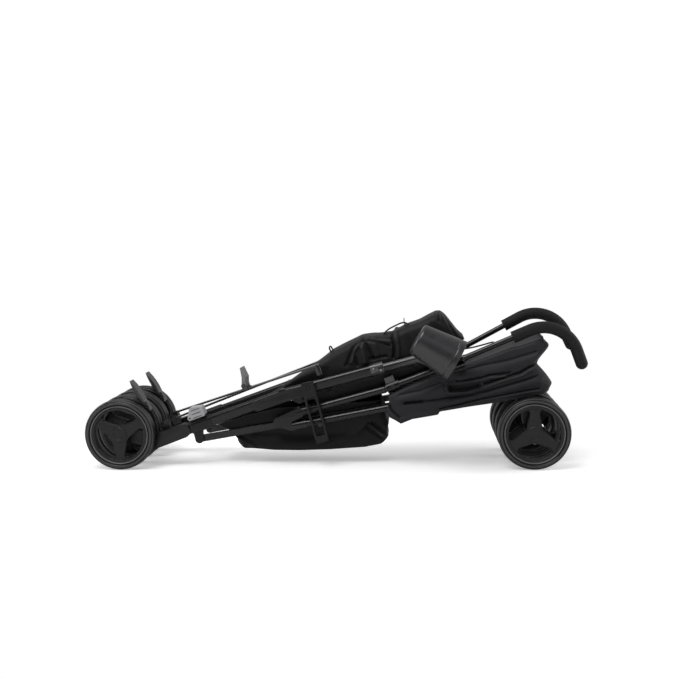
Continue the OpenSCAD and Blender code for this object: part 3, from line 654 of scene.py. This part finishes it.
def rim_mesh():
    """Ring, face plate and hub of a wheel that faces the near side, in one mesh about the origin."""
    h, inner = RIM_HALF, RIM_R - RIM_RING
    ring = turned("rim_ring", [
        (inner, 1.2 - h), (inner + 0.4, 0.4 - h), (inner + 1.2, -h), (RIM_R - 1.0, -h),
        (RIM_R - 0.2, 0.3 - h), (RIM_R, 1.0 - h), (RIM_R, h - 1.0), (RIM_R - 1.0, h), (inner + 1.2, h),
        (inner, h - 1.2),
    ], True)
    hub = turned("rim_hub", [
        (0.0, 1.0 - h), (9.4, 1.0 - h), (10.0, 0.9 - h), (10.6, 0.2 - h), (11.2, -h), (HUB_R - 1.8, -h),
        (HUB_R - 0.6, 0.5 - h), (HUB_R, 1.8 - h), (HUB_R, h - 1.2), (HUB_R - 1.2, h), (6.0, h),
        (5.3, h - 0.7), (5.3, h - 6.0), (0.0, h - 6.0),
    ], False)
    work = bmesh.new()
    for mesh in (ring, rim_face(), hub):
        work.from_mesh(mesh)
    whole = bpy.data.meshes.new("rim")
    work.to_mesh(whole)
    work.free()
    return whole


RIM_MESH = rim_mesh()


def rim(node, axle, y, face, turn):
    """A copy of the rim turned about its axle, with its face to one side, at its place."""
    mesh = RIM_MESH.copy()
    right, w, up = points_of(mesh).T / MM
    x, z = in_plane((axle, turn), right, up)
    mesh.vertices.foreach_set("co", (np.stack([x, y - face * w, z], axis=-1) * MM).ravel())
    return dress(even(finished(f"{node}_moulding", mesh)), FINISH["rim"], BODY_OF[node], "rim", node)


# Latch
LATCH_TILT = -76.0
LATCH_LINE = (LEG_BEND + 57.0 * along(UPPER_SLOPE) + 3.0 * above(UPPER_SLOPE), LATCH_TILT)
LATCH_T = 6.0
LATCH_EDGE = 1.2
LATCH_GAP = 7.0
LATCH_Y = SIDE_Y + LEG_W / 2 + LATCH_GAP + LATCH_T / 2
LATCH_PIN_R = 3.1

# Middle, half length and half width of the latch's frame and of its slot
LATCH_OVALS = ((54.5, 66.0, 14.5), (64.0, 42.0, 9.0))


def latch():
    """A long frame on its pin: a squared oval with a slot of the same kind and the pin's hole."""
    turn = np.linspace(0, 2 * np.pi, 72, endpoint=False)
    a, b = squared(turn, 0.2)
    shapes = [(middle + length * a, width * b) for middle, length, width in LATCH_OVALS]
    shapes.append((LATCH_PIN_R * np.cos(turn), LATCH_PIN_R * np.sin(turn)))
    outlines = [np.stack(in_plane(LATCH_LINE, q, n), axis=-1) for q, n in shapes]
    mesh = plate_mesh("storage_latch_frame", outlines, LATCH_T, LATCH_EDGE, -LATCH_Y)
    return even(finished("storage_latch_frame", mesh))


dress(latch(), FINISH["black_plastic"], BODY_OF["storage_latch"], SLOT_OF["storage_latch"], "storage_latch")


# Tyres: the section from the seat to the middle of the tread, as heights above the seat and
# depths in from the side
TYRE_SEAT = 0.2
TYRE_RISE = np.array([0, 0.4, 2.4, 2.9, 3.1, 5.2, 5.5, 7.0, 9.5, 11, 11.3, 12.8, 13.1, 13.9, 14.9,
                      15.4, 14.6, 15.4, 15.7, 15.8])
TYRE_IN = np.array([5, 2, 1.2, 1.6, 4, 4, 0.8, 0, 0, 0.5, 3, 3.4, 2.2, 2.9, 4.4, 6, 6.9, 7.6, 9.8, 13])
WHEEL_YS = [side * SIDE_Y + twin * TWIN_PITCH / 2 for side in (-1, 1) for twin in (-1, 1)]
REAR_TURN = 30.0
FRONT_TURNS = (90.0, 90.0, 150.0, 110.0)


def tyre(node, axle, y):
    """A closed section turned about the axle: a seat on the rim, a sidewall with two grooves,
    a rounded shoulder, and a low crown with two grooves round the tread."""
    half = TYRE_W / 2
    r = WHEEL_R - TYRE_H + TYRE_SEAT + np.concatenate([TYRE_RISE, TYRE_RISE[-2::-1]])
    w = np.concatenate([half - TYRE_IN, TYRE_IN[-2::-1] - half])
    turn = np.linspace(0, 2 * np.pi, 144, endpoint=False)[:, None]
    x, z = axle[0] + r * np.cos(turn), axle[1] + r * np.sin(turn)
    piece = surface(f"{node}_rubber", x, y + w + 0 * turn, z, close_rows=True, close_cols=True)
    return dress(piece, FINISH["tyre"], BODY_OF[node], "tyre", node)


for k, y in enumerate(WHEEL_YS):
    tyre(f"tyre_rear_{k + 1}", REAR_AXLE, y)
    tyre(f"tyre_front_{k + 1}", FRONT_AXLE, y)
    face = (-1, 1)[k % 2]
    rim(f"rim_rear_{k + 1}", REAR_AXLE, y, face, REAR_TURN)
    rim(f"rim_front_{k + 1}", FRONT_AXLE, y, face, FRONT_TURNS[k])


# Cup
CUP_R = 44.0
CUP_BASE_R = 33.0
CUP_LEN = 91.0
CUP_WALL = 3.0
CUP_TILT = 30.0
CUP_EDGE = 7.0
CUP_REACH = 29.0
CUP_Y = SIDE_Y + CUP_REACH + CUP_R
CUP_MOUTH = PIVOT + 34.0 * along(HANDLE_SLOPE) + 13.0 * above(HANDLE_SLOPE)
CUP_LINE = (CUP_MOUTH - CUP_LEN * along(-CUP_TILT), -CUP_TILT)


def cup_r(w):
    """Outer radius of the cup at a height above its base."""
    return CUP_BASE_R + (CUP_R - CUP_BASE_R) * np.asarray(w, float) / CUP_LEN


def cup():
    """A section turned about the tilted axis: a base with a round edge, a tapered wall with a groove
    below the lip, and the same line inside, a wall's thickness in."""
    foot = (CUP_BASE_R + 0.8 - CUP_EDGE, CUP_EDGE)
    w = np.array([12, 20, 28, 36, 44, 52, 60, 68, 75, 77.2, 78, 79, 80, 80.8, 83, 88, 90, 90.8, 91, 91,
                  90.8, 90])
    sunk = np.array([0, 0, 0, 0, 0, 0, 0, 0, 0, 0, 0.8, 1.2, 0.8, 0, 0, 0, 0, 0.2, 0.8, 2.4, 2.9, 3.0])
    inner = np.linspace(84, 14, 9)
    section = np.concatenate([
        [(0.0, 0.0), (12.0, 0.0)],
        arc(foot, CUP_EDGE, -90.0, -7.0, 12),
        np.stack([cup_r(w) - sunk, w], axis=-1),
        np.stack([cup_r(inner) - CUP_WALL, inner], axis=-1),
        arc(foot, CUP_EDGE - CUP_WALL, -7.0, -90.0, 8),
        [(0.0, CUP_WALL)],
    ])
    r, w = section.T
    turn = np.linspace(0, 2 * np.pi, 112, endpoint=False)[:, None]
    x, z = in_plane(CUP_LINE, w + 0 * turn, r * np.cos(turn))
    return even(surface("cup", x, r * np.sin(turn) - CUP_Y, z, close_rows=True))


def in_cup_clip(x, y, z):
    """Tells whether a point of the cup holder lies outside its cup."""
    d = (x, z) - CUP_LINE[0]
    w, v = np.dot(d, along(-CUP_TILT)), np.dot(d, above(-CUP_TILT))
    return np.hypot(v, y + CUP_Y) > cup_r(w) + 0.6


dress(cup(), FINISH["cup_plastic"], BODY_OF["cup_holder"], "cup_plastic", "cup_holder")
piece = part_of("cup_holder", 1.0, "clip", in_cup_clip)
dress(piece, FINISH["cup_plastic"], BODY_OF["cup_holder"], "cup_plastic")


# Cloth
def thickened(piece, thick):
    """Gives a sheet its thickness on the inner side."""
    wall = piece.modifiers.new("cloth", "SOLIDIFY")
    wall.thickness = thick * MM
    wall.offset = -1.0
    return piece


def both_sides(*parts, flip=False):
    """Values for the near half, in parts, carried on to the far half with their sign kept or flipped."""
    half = np.concatenate(parts)
    return np.concatenate([half, (-1 if flip else 1) * half[-2::-1]])


def section(walls, edges, levels):
    """Shares along a section of a wall, a rounded edge and a level part, with a count of points for each:
    the way along the wall, the edge's way on and its way inwards, and the way in to the middle."""
    wall, level = np.linspace(0, 1, walls), np.linspace(0, 1, levels + 1)[1:]
    edge = np.linspace(0, np.pi / 2, edges + 1)[1:]
    rows = ((wall, 1 + 0 * edge, 1 + 0 * level), (0 * wall, np.sin(edge), 1 + 0 * level),
            (0 * wall, 1 - np.cos(edge), 1 + 0 * level), (0 * wall, 0 * edge, level))
    return np.stack([np.concatenate(row) for row in rows])


# Canopy
CANOPY_LOW = [(-141, -62), (-133, -70), (-120, -78), (-95, -77), (-41, -87.5), (-36, -82.5), (27, -95),
              (78, -106), (140, -117), (181, -124), (203, -122), (214, -116)]
CANOPY_TOP = [(-141, -30), (-131, -18), (-120, -13.5), (-88, -10.5), (150, -10.5), (165, -14),
              (210, -15.5), (226, -17)]
CANOPY_LEFT = [(0, -121), (0.25, -137), (0.7, -141), (0.95, -128), (1, -124)]
CANOPY_RIGHT = [(0, 191), (0.1, 203), (0.2, 201), (0.33, 197), (0.6, 187), (0.66, 192), (0.72, 201),
                (0.8, 217), (0.88, 225), (0.97, 224), (1, 218)]
CANOPY_FOLDS = [
    ([(24, -18), (77, -23), (139, -33), (192, -36)], 3.0, -2.4),
    ([(30, -30), (100, -42), (190, -48)], 9.0, 3.0),
    ([(-6, -40), (1, -35), (30, -41), (66, -50), (88, -52), (117, -61)], 3.0, 3.2),
    ([(20, -36), (66, -45), (90, -47), (128, -57)], 2.6, -2.8),
    ([(-6, -40), (-4, -52), (28, -62), (71, -67), (104, -67), (147, -70), (183, -63)], 3.4, 3.6),
    ([(3, -44), (24, -53), (56, -60)], 6.5, -6.5),
    ([(72, -60), (104, -62), (147, -65), (186, -58)], 2.6, -4.0),
    ([(-96, -39), (-46, -54), (-4, -62), (37, -72), (100, -79), (178, -84)], 2.6, -3.0),
    ([(-10, -70), (60, -80), (110, -88), (180, -95)], 7.0, 2.6),
    ([(-33, -77), (53, -87), (114, -99), (172, -110)], 2.0, -2.2),
    ([(-33, -81), (53, -91), (114, -103), (172, -114)], 2.2, 1.2),
    ([(-100, -20), (-58, -27), (-13, -26)], 2.6, -2.0),
    ([(-112, -30), (-60, -38), (-14, -36)], 8.0, 2.2),
    ([(-129, -21), (-128, -44), (-118, -64)], 2.2, -2.4),
    ([(-134, -24), (-134, -44), (-124, -68)], 3.0, 2.0),
    ([(-98, -40), (-64, -49)], 4.5, -3.6),
    ([(-118, -70), (-44, -80)], 5.0, 1.8),
]


def canopy():
    """One sheet: a path runs down the near side, round the end over the front wheels and back along
    the far side, and each point of it rises from the hem up the wall, turns in at the top and meets
    the other side in the middle. The end stands out in two lobes, and bell-shaped folds run along
    the walls."""
    turn = np.linspace(0, np.pi / 2, 14)[1:-1]
    side = np.linspace(0, 1, 190)
    end = np.linspace(-1, 0, 22)
    run = both_sides(side, 1 + 0 * turn, 1 + 0 * end)
    reach = both_sides(0 * side, np.sin(turn), 1 + 0 * end)
    flat = both_sides(0 * side - 1, 0 * turn - 1, end, flip=True)
    bow = both_sides(0 * side - 1, -np.cos(turn), 0 * end, flip=True)
    up, lift, inward, across = section(74, 7, 15)[:, :, None]
    corner, edge_r, sag, bulge, deep, thick = 24.0, 8.0, 5.0, 2.0, 1.5, 1.4
    left, right = eased(up, CANOPY_LEFT, 0.05), eased(up, CANOPY_RIGHT, 0.04)
    s = left + run * (right - corner - left) + corner * reach
    low, top = eased(s, CANOPY_LOW, 3.0), eased(s, CANOPY_TOP, 5.0)
    t = low + up * (top - edge_r - low) + edge_r * lift - sag * across * (2 - across)
    wall = np.abs(bow) * (1 - inward)
    out = deep * folds(s, t, CANOPY_FOLDS) + ripples(s, t, 0.5, 1.0)
    out = out + bulge * np.sin(np.pi * np.clip(up, 0, 1))
    half = CANOPY_Y - 1.5
    narrow = 1 - (edge_r * inward + (half - edge_r) * across) / half
    y = (flat * (half - corner) + bow * (corner + out * wall)) * narrow
    s = s + reach * (1 - np.abs(bow)) * ripples(t, y, 1.2, 2.0)
    x, z = in_plane(HANDLE_LINE, s, t)
    return thickened(surface("canopy_sheet", x, y, z), thick)


piece = canopy()
dress(piece, FINISH["canopy_cloth"], None, "canopy_cloth", "canopy")
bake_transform(piece)

# Back
BACK_TOP = [(-34, 3), (0, 15), (38, 28), (64, 37), (89, 46), (121, 59), (157, 67), (192, 73.5), (212, 70.5),
            (234, 65.5), (252, 63.5), (264, 64), (283, 69), (296, 71), (318, 72.5), (337, 77), (358, 81.5),
            (366, 79), (373, 70), (380, 54), (389, 32), (399, 16)]
BACK_LOW = [(-34, -4), (0, 0), (40, 8), (80, 4), (100, -16), (280, -18), (290, 13), (380, 9), (399, 11)]
BACK_HALF = [(-34, 20), (20, 30), (60, 36), (92, 40), (112, 49), (130, 50.5), (275, 51), (290, 48),
             (385, 48), (399, 42)]
BACK_FOLDS = [
    ([(144, 24), (168, 57), (192, 68)], 3.2, -4.5),
    ([(167, 18), (168, 42), (193, 68)], 3.2, -5.0),
    ([(203, 22), (199, 49), (195, 67)], 3.4, -6.0),
    ([(156, 28), (177, 55), (193, 66)], 4.5, 4.0),
    ([(184, 20), (187, 52)], 6.0, 5.5),
    ([(213, 30), (214, 50)], 7.0, 3.0),
    ([(201, 64), (226, 52), (243, 41)], 2.8, -4.2),
    ([(223, 63), (253, 54)], 2.6, -3.6),
    ([(212, 62), (246, 50)], 3.4, 2.6),
    ([(197, 24), (231, 20)], 3.0, -4.0),
    ([(254, 62), (252, 34), (245, 14)], 2.8, -6.0),
    ([(264, 64), (260, 32), (254, 12)], 4.5, 3.8),
    ([(292, 48), (330, 44)], 24.0, 3.0),
    ([(360, 80), (356, 62)], 2.0, -3.4),
    ([(345, 66), (362, 48)], 7.0, 2.4),
    ([(369, 74), (376, 46), (386, 14)], 2.4, -3.2),
    ([(96, 34), (138, 30)], 14.0, 2.0),
]


def seat_back():
    """A sheet over the two upper legs: along its length the section is a wall, a rounded edge, a roof
    and the same on the far side; its top line and half width follow the hump, and folds fan out below
    the first crest."""
    u = np.linspace(-34, 398, 300)[:, None]
    up, lift, inward, level = (both_sides(part) for part in section(46, 10, 15))
    hand = both_sides(-np.ones(up.size // 2), [0.0], flip=True)
    low, top, half = eased(u, BACK_LOW, 4.0), eased(u, BACK_TOP, 4.0), eased(u, BACK_HALF, 5.0)
    edge_r = np.minimum(15.0, 0.45 * (top - low))
    crown, deep, thick = 2.5, 1.1, 1.6
    v = low + up * (top - crown - edge_r - low) + edge_r * lift + crown * level * (2 - level)
    out = (deep * folds(u, v, BACK_FOLDS) + ripples(u, v, 0.6, 4.0)) * (1 - level) ** 2
    y = hand * (half - edge_r * inward - (half - edge_r) * level + out * (1 - inward))
    v = v + out * lift + ripples(u, y, 0.8, 5.0) * level
    x, z = in_plane(UPPER_LINE, u + 0 * v, v)
    return thickened(surface("seat_back_sheet", x, y, z), thick)


piece = seat_back()
dress(piece, FINISH["back_cloth"], None, "back_cloth", "seat_back")
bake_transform(piece)

# Basket
BASKET_TOP = [(26, 12), (44, 22), (107, 31), (177, 35), (245, 28), (323, 20), (396, 14), (402, 12)]
BASKET_LOW = [(40, -4), (67, -14), (88, -40), (106, -43), (152, -55), (206, -65), (270, -74), (346, -82),
              (382, -81), (396, -72), (406, -62)]
BASKET_LEFT = [(0, 40), (0.45, 48), (0.8, 66), (1, 76)]
BASKET_RIGHT = [(0, 399), (0.4, 403), (0.8, 406), (1, 399)]
BASKET_FOLDS = [
    ([(73, -6), (110, -41)], 3.2, 3.4),
    ([(78, -2), (118, -40)], 3.6, -3.2),
    ([(356, -38), (387, -71)], 3.2, -4.2),
    ([(371, -30), (396, -57)], 3.0, -3.6),
    ([(364, -34), (392, -66)], 4.0, 2.6),
    ([(120, -8), (200, -26), (300, -44)], 13.0, -4.5),
    ([(130, -36), (230, -54), (340, -64)], 9.0, 2.2),
    ([(100, -44), (206, -66), (300, -78), (380, -79)], 3.0, 1.6),
    ([(330, -52), (362, -30)], 5.0, -2.2),
]


def basket():
    """A bag open above: a closed path runs round its four sides, and each point of it falls from the hem
    down the wall, turns in at the bottom and meets the other side in the middle, where the cloth sags."""
    turn = np.linspace(0, np.pi / 2, 10)[1:-1]
    side = np.linspace(0, 1, 170)
    end = np.linspace(0, 1, 12)
    run = both_sides(0 * end, 0 * turn, side, 1 + 0 * turn, 1 + 0 * end)[:-1]
    reach = both_sides(0 * end - 1, -np.cos(turn), 0 * side, np.sin(turn), 1 + 0 * end)[:-1]
    flat = both_sides(-end, 0 * turn - 1, 0 * side - 1, 0 * turn - 1, end - 1, flip=True)[:-1]
    bow = both_sides(0 * end, -np.sin(turn), 0 * side - 1, -np.cos(turn), 0 * end, flip=True)[:-1]
    fall, dip, inward, level = section(60, 8, 13)[:, :, None]
    corner, edge_r, sag, thick = 16.0, 11.0, 2.0, 1.2
    left, right = eased(fall, BASKET_LEFT, 0.06), eased(fall, BASKET_RIGHT, 0.06)
    s = left + corner + run * (right - left - 2 * corner) + corner * reach
    low, top = eased(s, BASKET_LOW, 5.0), eased(s, BASKET_TOP, 8.0)
    t = top + fall * (low + edge_r - top) - edge_r * dip - sag * level * (2 - level)
    out = folds(s, t, BASKET_FOLDS) + ripples(s, t, 0.8, 7.0)
    half = BASKET_Y - 1.2
    narrow = 1 - (edge_r * inward + (half - edge_r) * level) / half
    y = (flat * (half - corner) + bow * (corner + out * (1 - inward))) * narrow
    s = s + reach * (1 - np.abs(bow)) * ripples(t, y, 1.6, 8.0)
    x, z = in_plane(BAR_LINE, s, t)
    return thickened(surface("basket_bag", x, y, z, close_cols=True), thick)


piece = basket()
dress(piece, FINISH["basket_cloth"], None, "basket_cloth", "basket")
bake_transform(piece)


# Seat
PAD_START = 40.0
PAD_HALF = (SEAT_LEN - 12) / 2
PAD_Y = SIDE_Y - 39.0
PAD_HALF_Y = 22.6
PAD_DROP = 22.0
SEWN_AT = (96.0, 152.0, 208.0)
SEWN_W = 2.2
HINGE_END = 64.0


def seat_pad(side, hand):
    """A thin padded board: a rounded box whose top is crowned, drawn in at both ends, with sewn lines
    across it."""
    u = np.linspace(-1, 1, 150)[:, None]
    a, b = squared(np.linspace(0, 2 * np.pi, 72, endpoint=False), 0.4)
    shrink = (1 - np.abs(u) ** 14) ** 0.25
    along_u = PAD_START + PAD_HALF + (PAD_HALF + 1.5) * u
    sewn = sum(np.exp(-(((along_u - c) / SEWN_W) ** 2)) for c in SEWN_AT)
    thick = (SEAT_T / 2 + 0.8 - 1.6 * sewn + 1.0 * (1 - a * a)) * shrink
    y = hand * (PAD_Y + PAD_HALF_Y * a * shrink ** 0.4)
    x, z = in_plane(UPPER_LINE, along_u + 0 * a, thick * b - PAD_DROP)
    return surface(f"seat_pad_{side}", x, y, z, close_cols=True)


def in_hinge(x, y, z):
    """Tells whether a point of a seat half lies in its hinge end, before the board."""
    return np.dot((x, z) - LEG_BEND, along(UPPER_SLOPE)) < HINGE_END


for side, hand in SIDES:
    node = f"seat_board_{side}"
    piece = dress(seat_pad(side, hand), FINISH["seat_cloth"], f"seat_{side}", "seat_cloth", node)
    piece = part_of(node, 0.8, "hinge", in_hinge)
    dress(piece, FINISH["black_plastic"], f"seat_{side}", "black_plastic")


SLING_HALF = 49.0
SLING_LOW = [(58, -46), (72, -57), (130, -58), (195, -54), (250, -46), (322, -40)]


def sling():
    """The seat's cloth, hung between the boards' outer edges: each section is the lower half of
    a squared oval, and its hem dips in two places."""
    u = np.linspace(58, 322, 130)[:, None]
    turn = np.linspace(0, np.pi, 64)
    across, down = squared(turn, 0.5)
    low = eased(u, SLING_LOW, 8.0)
    hem = -11.0 - 9.0 * np.exp(-(((u - 97) / 9) ** 4)) - 6.0 * np.exp(-(((u - 119) / 7) ** 4))
    y = -SLING_HALF * across + 0 * u
    v = hem - (hem - low) * down + ripples(u, y, 0.7, 3.0) * np.sin(turn)
    x, z = in_plane(UPPER_LINE, u + 0 * v, v)
    return thickened(surface("seat_sling", x, y, z), 1.2)


piece = dress(sling(), FINISH["seat_cloth"], None, "seat_cloth")
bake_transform(piece)


# Straps and rivets
STRAP_Y = -22.0
BACK_LOOP = [(119, 52), (116.5, 62), (117, 68), (120, 68.5), (122, 63), (125, 53)]
BACK_TAB = [(285, 68), (285.5, 78), (287.5, 87)]
BACK_ARCH = [(234, 62), (243, 68.5), (253, 72.5), (265, 75), (276, 77), (285, 76.5), (292, 71.5), (297, 67)]
HANDLE_STRAP = [(34, 12), (41, 22), (81, 16), (122, 12)]
RIVET_SPOTS = (("low", 199, 3), ("high", 213, -3))
RIVET_Y = SIDE_Y + 9.5
RIVET_R = 2.6
RIVET_RISE = 1.4


def strap(name, line, points, y, width, thick, body, count=40):
    """A flat strap through points along and above a sloping line."""
    piece = band(name, in_side(line, points, y, count), width, thick)
    return dress(piece, WEBBING, body, "back_cloth")


strap("back_loop", UPPER_LINE, BACK_LOOP, STRAP_Y, 14, 2.0, "rear_leg_near")
strap("back_tab", UPPER_LINE, BACK_TAB, STRAP_Y, 8, 1.8, "rear_leg_near", 20)
strap("back_arch", UPPER_LINE, BACK_ARCH, STRAP_Y, 14, 2.6, "rear_leg_near")
strap("handle_strap", HANDLE_LINE, HANDLE_STRAP, -SIDE_Y, 3.0, 3.0, "handle_near")


def rivet(name, line, u, v, y, rise, body):
    """A domed rivet head: a quarter turn of an ellipse revolved about an axis across, drawn out by rise."""
    swing = np.linspace(0, np.pi / 2, 8)[:, None]
    turn = np.linspace(0, 2 * np.pi, 28, endpoint=False)
    r = RIVET_R * np.cos(swing)
    x, z = in_plane(line, u + r * np.cos(turn), v + r * np.sin(turn))
    piece = surface(name, x, y + rise * np.sin(swing) + 0 * turn, z, close_cols=True)
    return dress(piece, RIVET, body, "steel")


for side, hand in SIDES:
    for end, u, v in RIVET_SPOTS:
        rivet(f"sleeve_rivet_{end}_{side}", UPPER_LINE, u, v, hand * RIVET_Y, hand * RIVET_RISE,
              f"rear_leg_{side}")

# Camera at the photograph's place
PICTURE = 679
FOCAL_PX = 948.0
CAMERA_AT = np.array([612.3 - WHEELBASE / 2, -2033.6, 482.4])
CAMERA_YAW, CAMERA_PITCH, CAMERA_ROLL = np.radians([-4.20, 6.146, -0.985])


def placed(thing, right, up, back, at):
    """Sets an object's axes and place, in millimetres."""
    turn = np.eye(4)
    turn[:3, 0], turn[:3, 1], turn[:3, 2], turn[:3, 3] = right, up, back, np.array(at, float) * MM
    thing.matrix_world = Matrix(turn.tolist())


def make_camera():
    """The lens axis turns by yaw about Z, dips by pitch, and the picture rolls about it."""
    level = np.cos(CAMERA_PITCH)
    ahead = np.array([np.sin(CAMERA_YAW) * level, np.cos(CAMERA_YAW) * level, -np.sin(CAMERA_PITCH)])
    right = np.array([np.cos(CAMERA_YAW), -np.sin(CAMERA_YAW), 0.0])
    up = np.cross(right, ahead)
    c, s = np.cos(CAMERA_ROLL), np.sin(CAMERA_ROLL)
    data = bpy.data.cameras.new("camera")
    data.sensor_width = 36.0
    data.lens = FOCAL_PX / PICTURE * data.sensor_width
    camera = linked("camera", data)
    placed(camera, c * right + s * up, c * up - s * right, -ahead, CAMERA_AT)
    bpy.context.scene.camera = camera


make_camera()
bpy.context.scene.view_settings.view_transform = "Standard"


# Floor and light: each lamp has a name, a place, a size in metres and a power in watts
FLOOR_REACH = 8000.0
FLOOR_GLOW = 0.36
FADE_SHAPE = (0.5, 1.0, 0.0)
FADE = (0.22, 0.5)
SKY_WAY = (0.0, 0.87, 0.5)
LAMP_AIM = (0, 0, 100)
LAMPS = (("key", (-700, -1100, 2500), 1.5, 42), ("fill", (1500, -2200, 1500), 2.0, 7),
         ("left", (-2000, 300, 900), 1.0, 12), ("right", (2000, 300, 900), 1.0, 12))


def make_floor():
    """A pale floor that keeps the shadow near the object and turns plain white to the camera away from it,
    sooner across than along."""
    line = np.linspace(-FLOOR_REACH, FLOOR_REACH, 3)
    x, y = np.meshgrid(line, line, indexing="ij")
    floor = surface("floor", x, y, 0 * x)
    mat = bpy.data.materials.new("floor")
    mat.use_nodes = True
    tree = mat.node_tree
    tree.nodes.clear()
    out = tree.nodes.new("ShaderNodeOutputMaterial")
    paper = add(tree, "ShaderNodeBsdfDiffuse", Color=(0.82, 0.82, 0.82, 1))
    shade = add(tree, "ShaderNodeBsdfDiffuse", Color=(1, 1, 1, 1))
    glow = add(tree, "ShaderNodeEmission", Color=(1, 1, 1, 1), Strength=FLOOR_GLOW)
    white = add(tree, "ShaderNodeEmission", Color=(1, 1, 1, 1), Strength=1.0)
    lit = tree.nodes.new("ShaderNodeAddShader")
    tree.links.new(shade.outputs[0], lit.inputs[0])
    tree.links.new(glow.outputs[0], lit.inputs[1])
    shape = tree.nodes.new("ShaderNodeVectorMath")
    shape.operation = "MULTIPLY"
    shape.inputs[1].default_value = FADE_SHAPE
    reach = tree.nodes.new("ShaderNodeVectorMath")
    reach.operation = "LENGTH"
    tree.links.new(tree.nodes.new("ShaderNodeTexCoord").outputs["Object"], shape.inputs[0])
    tree.links.new(shape.outputs[0], reach.inputs[0])
    away = spread(tree, reach.outputs["Value"], *FADE)
    shown = tree.nodes.new("ShaderNodeMixShader")
    tree.links.new(away, shown.inputs[0])
    tree.links.new(lit.outputs[0], shown.inputs[1])
    tree.links.new(white.outputs[0], shown.inputs[2])
    pick = tree.nodes.new("ShaderNodeMixShader")
    tree.links.new(tree.nodes.new("ShaderNodeLightPath").outputs["Is Camera Ray"], pick.inputs[0])
    tree.links.new(paper.outputs[0], pick.inputs[1])
    tree.links.new(shown.outputs[0], pick.inputs[2])
    tree.links.new(pick.outputs[0], out.inputs["Surface"])
    floor.data.materials.append(mat)


def make_light():
    """A sky that is bright above and behind, dark on the camera's side and white to the camera itself,
    with a large soft lamp above, a weak one in front and one at each end."""
    world = bpy.data.worlds.new("studio")
    bpy.context.scene.world = world
    world.use_nodes = True
    tree = world.node_tree
    back = tree.nodes["Background"]
    back.inputs["Color"].default_value = (1, 1, 1, 1)
    path = tree.nodes.new("ShaderNodeLightPath")
    seen = math(tree, "MAXIMUM", path.outputs["Is Camera Ray"], path.outputs["Is Transmission Ray"])
    toward = tree.nodes.new("ShaderNodeVectorMath")
    toward.operation = "DOT_PRODUCT"
    toward.inputs[1].default_value = SKY_WAY
    tree.links.new(tree.nodes.new("ShaderNodeTexCoord").outputs["Generated"], toward.inputs[0])
    sky = spread(tree, toward.outputs["Value"], -0.2, 0.9, 0.05, 0.45)
    tree.links.new(math(tree, "MAXIMUM", sky, seen), back.inputs["Strength"])
    for name, at, size, power in LAMPS:
        data = bpy.data.lights.new(name, "AREA")
        data.size = size
        data.energy = power
        lamp = linked(name, data)
        back_to = np.array(at, float) - LAMP_AIM
        back_to /= np.linalg.norm(back_to)
        side = np.cross([0, 0, 1.0], back_to)
        side /= np.linalg.norm(side)
        placed(lamp, side, np.cross(back_to, side), back_to, at)


make_floor()
make_light()
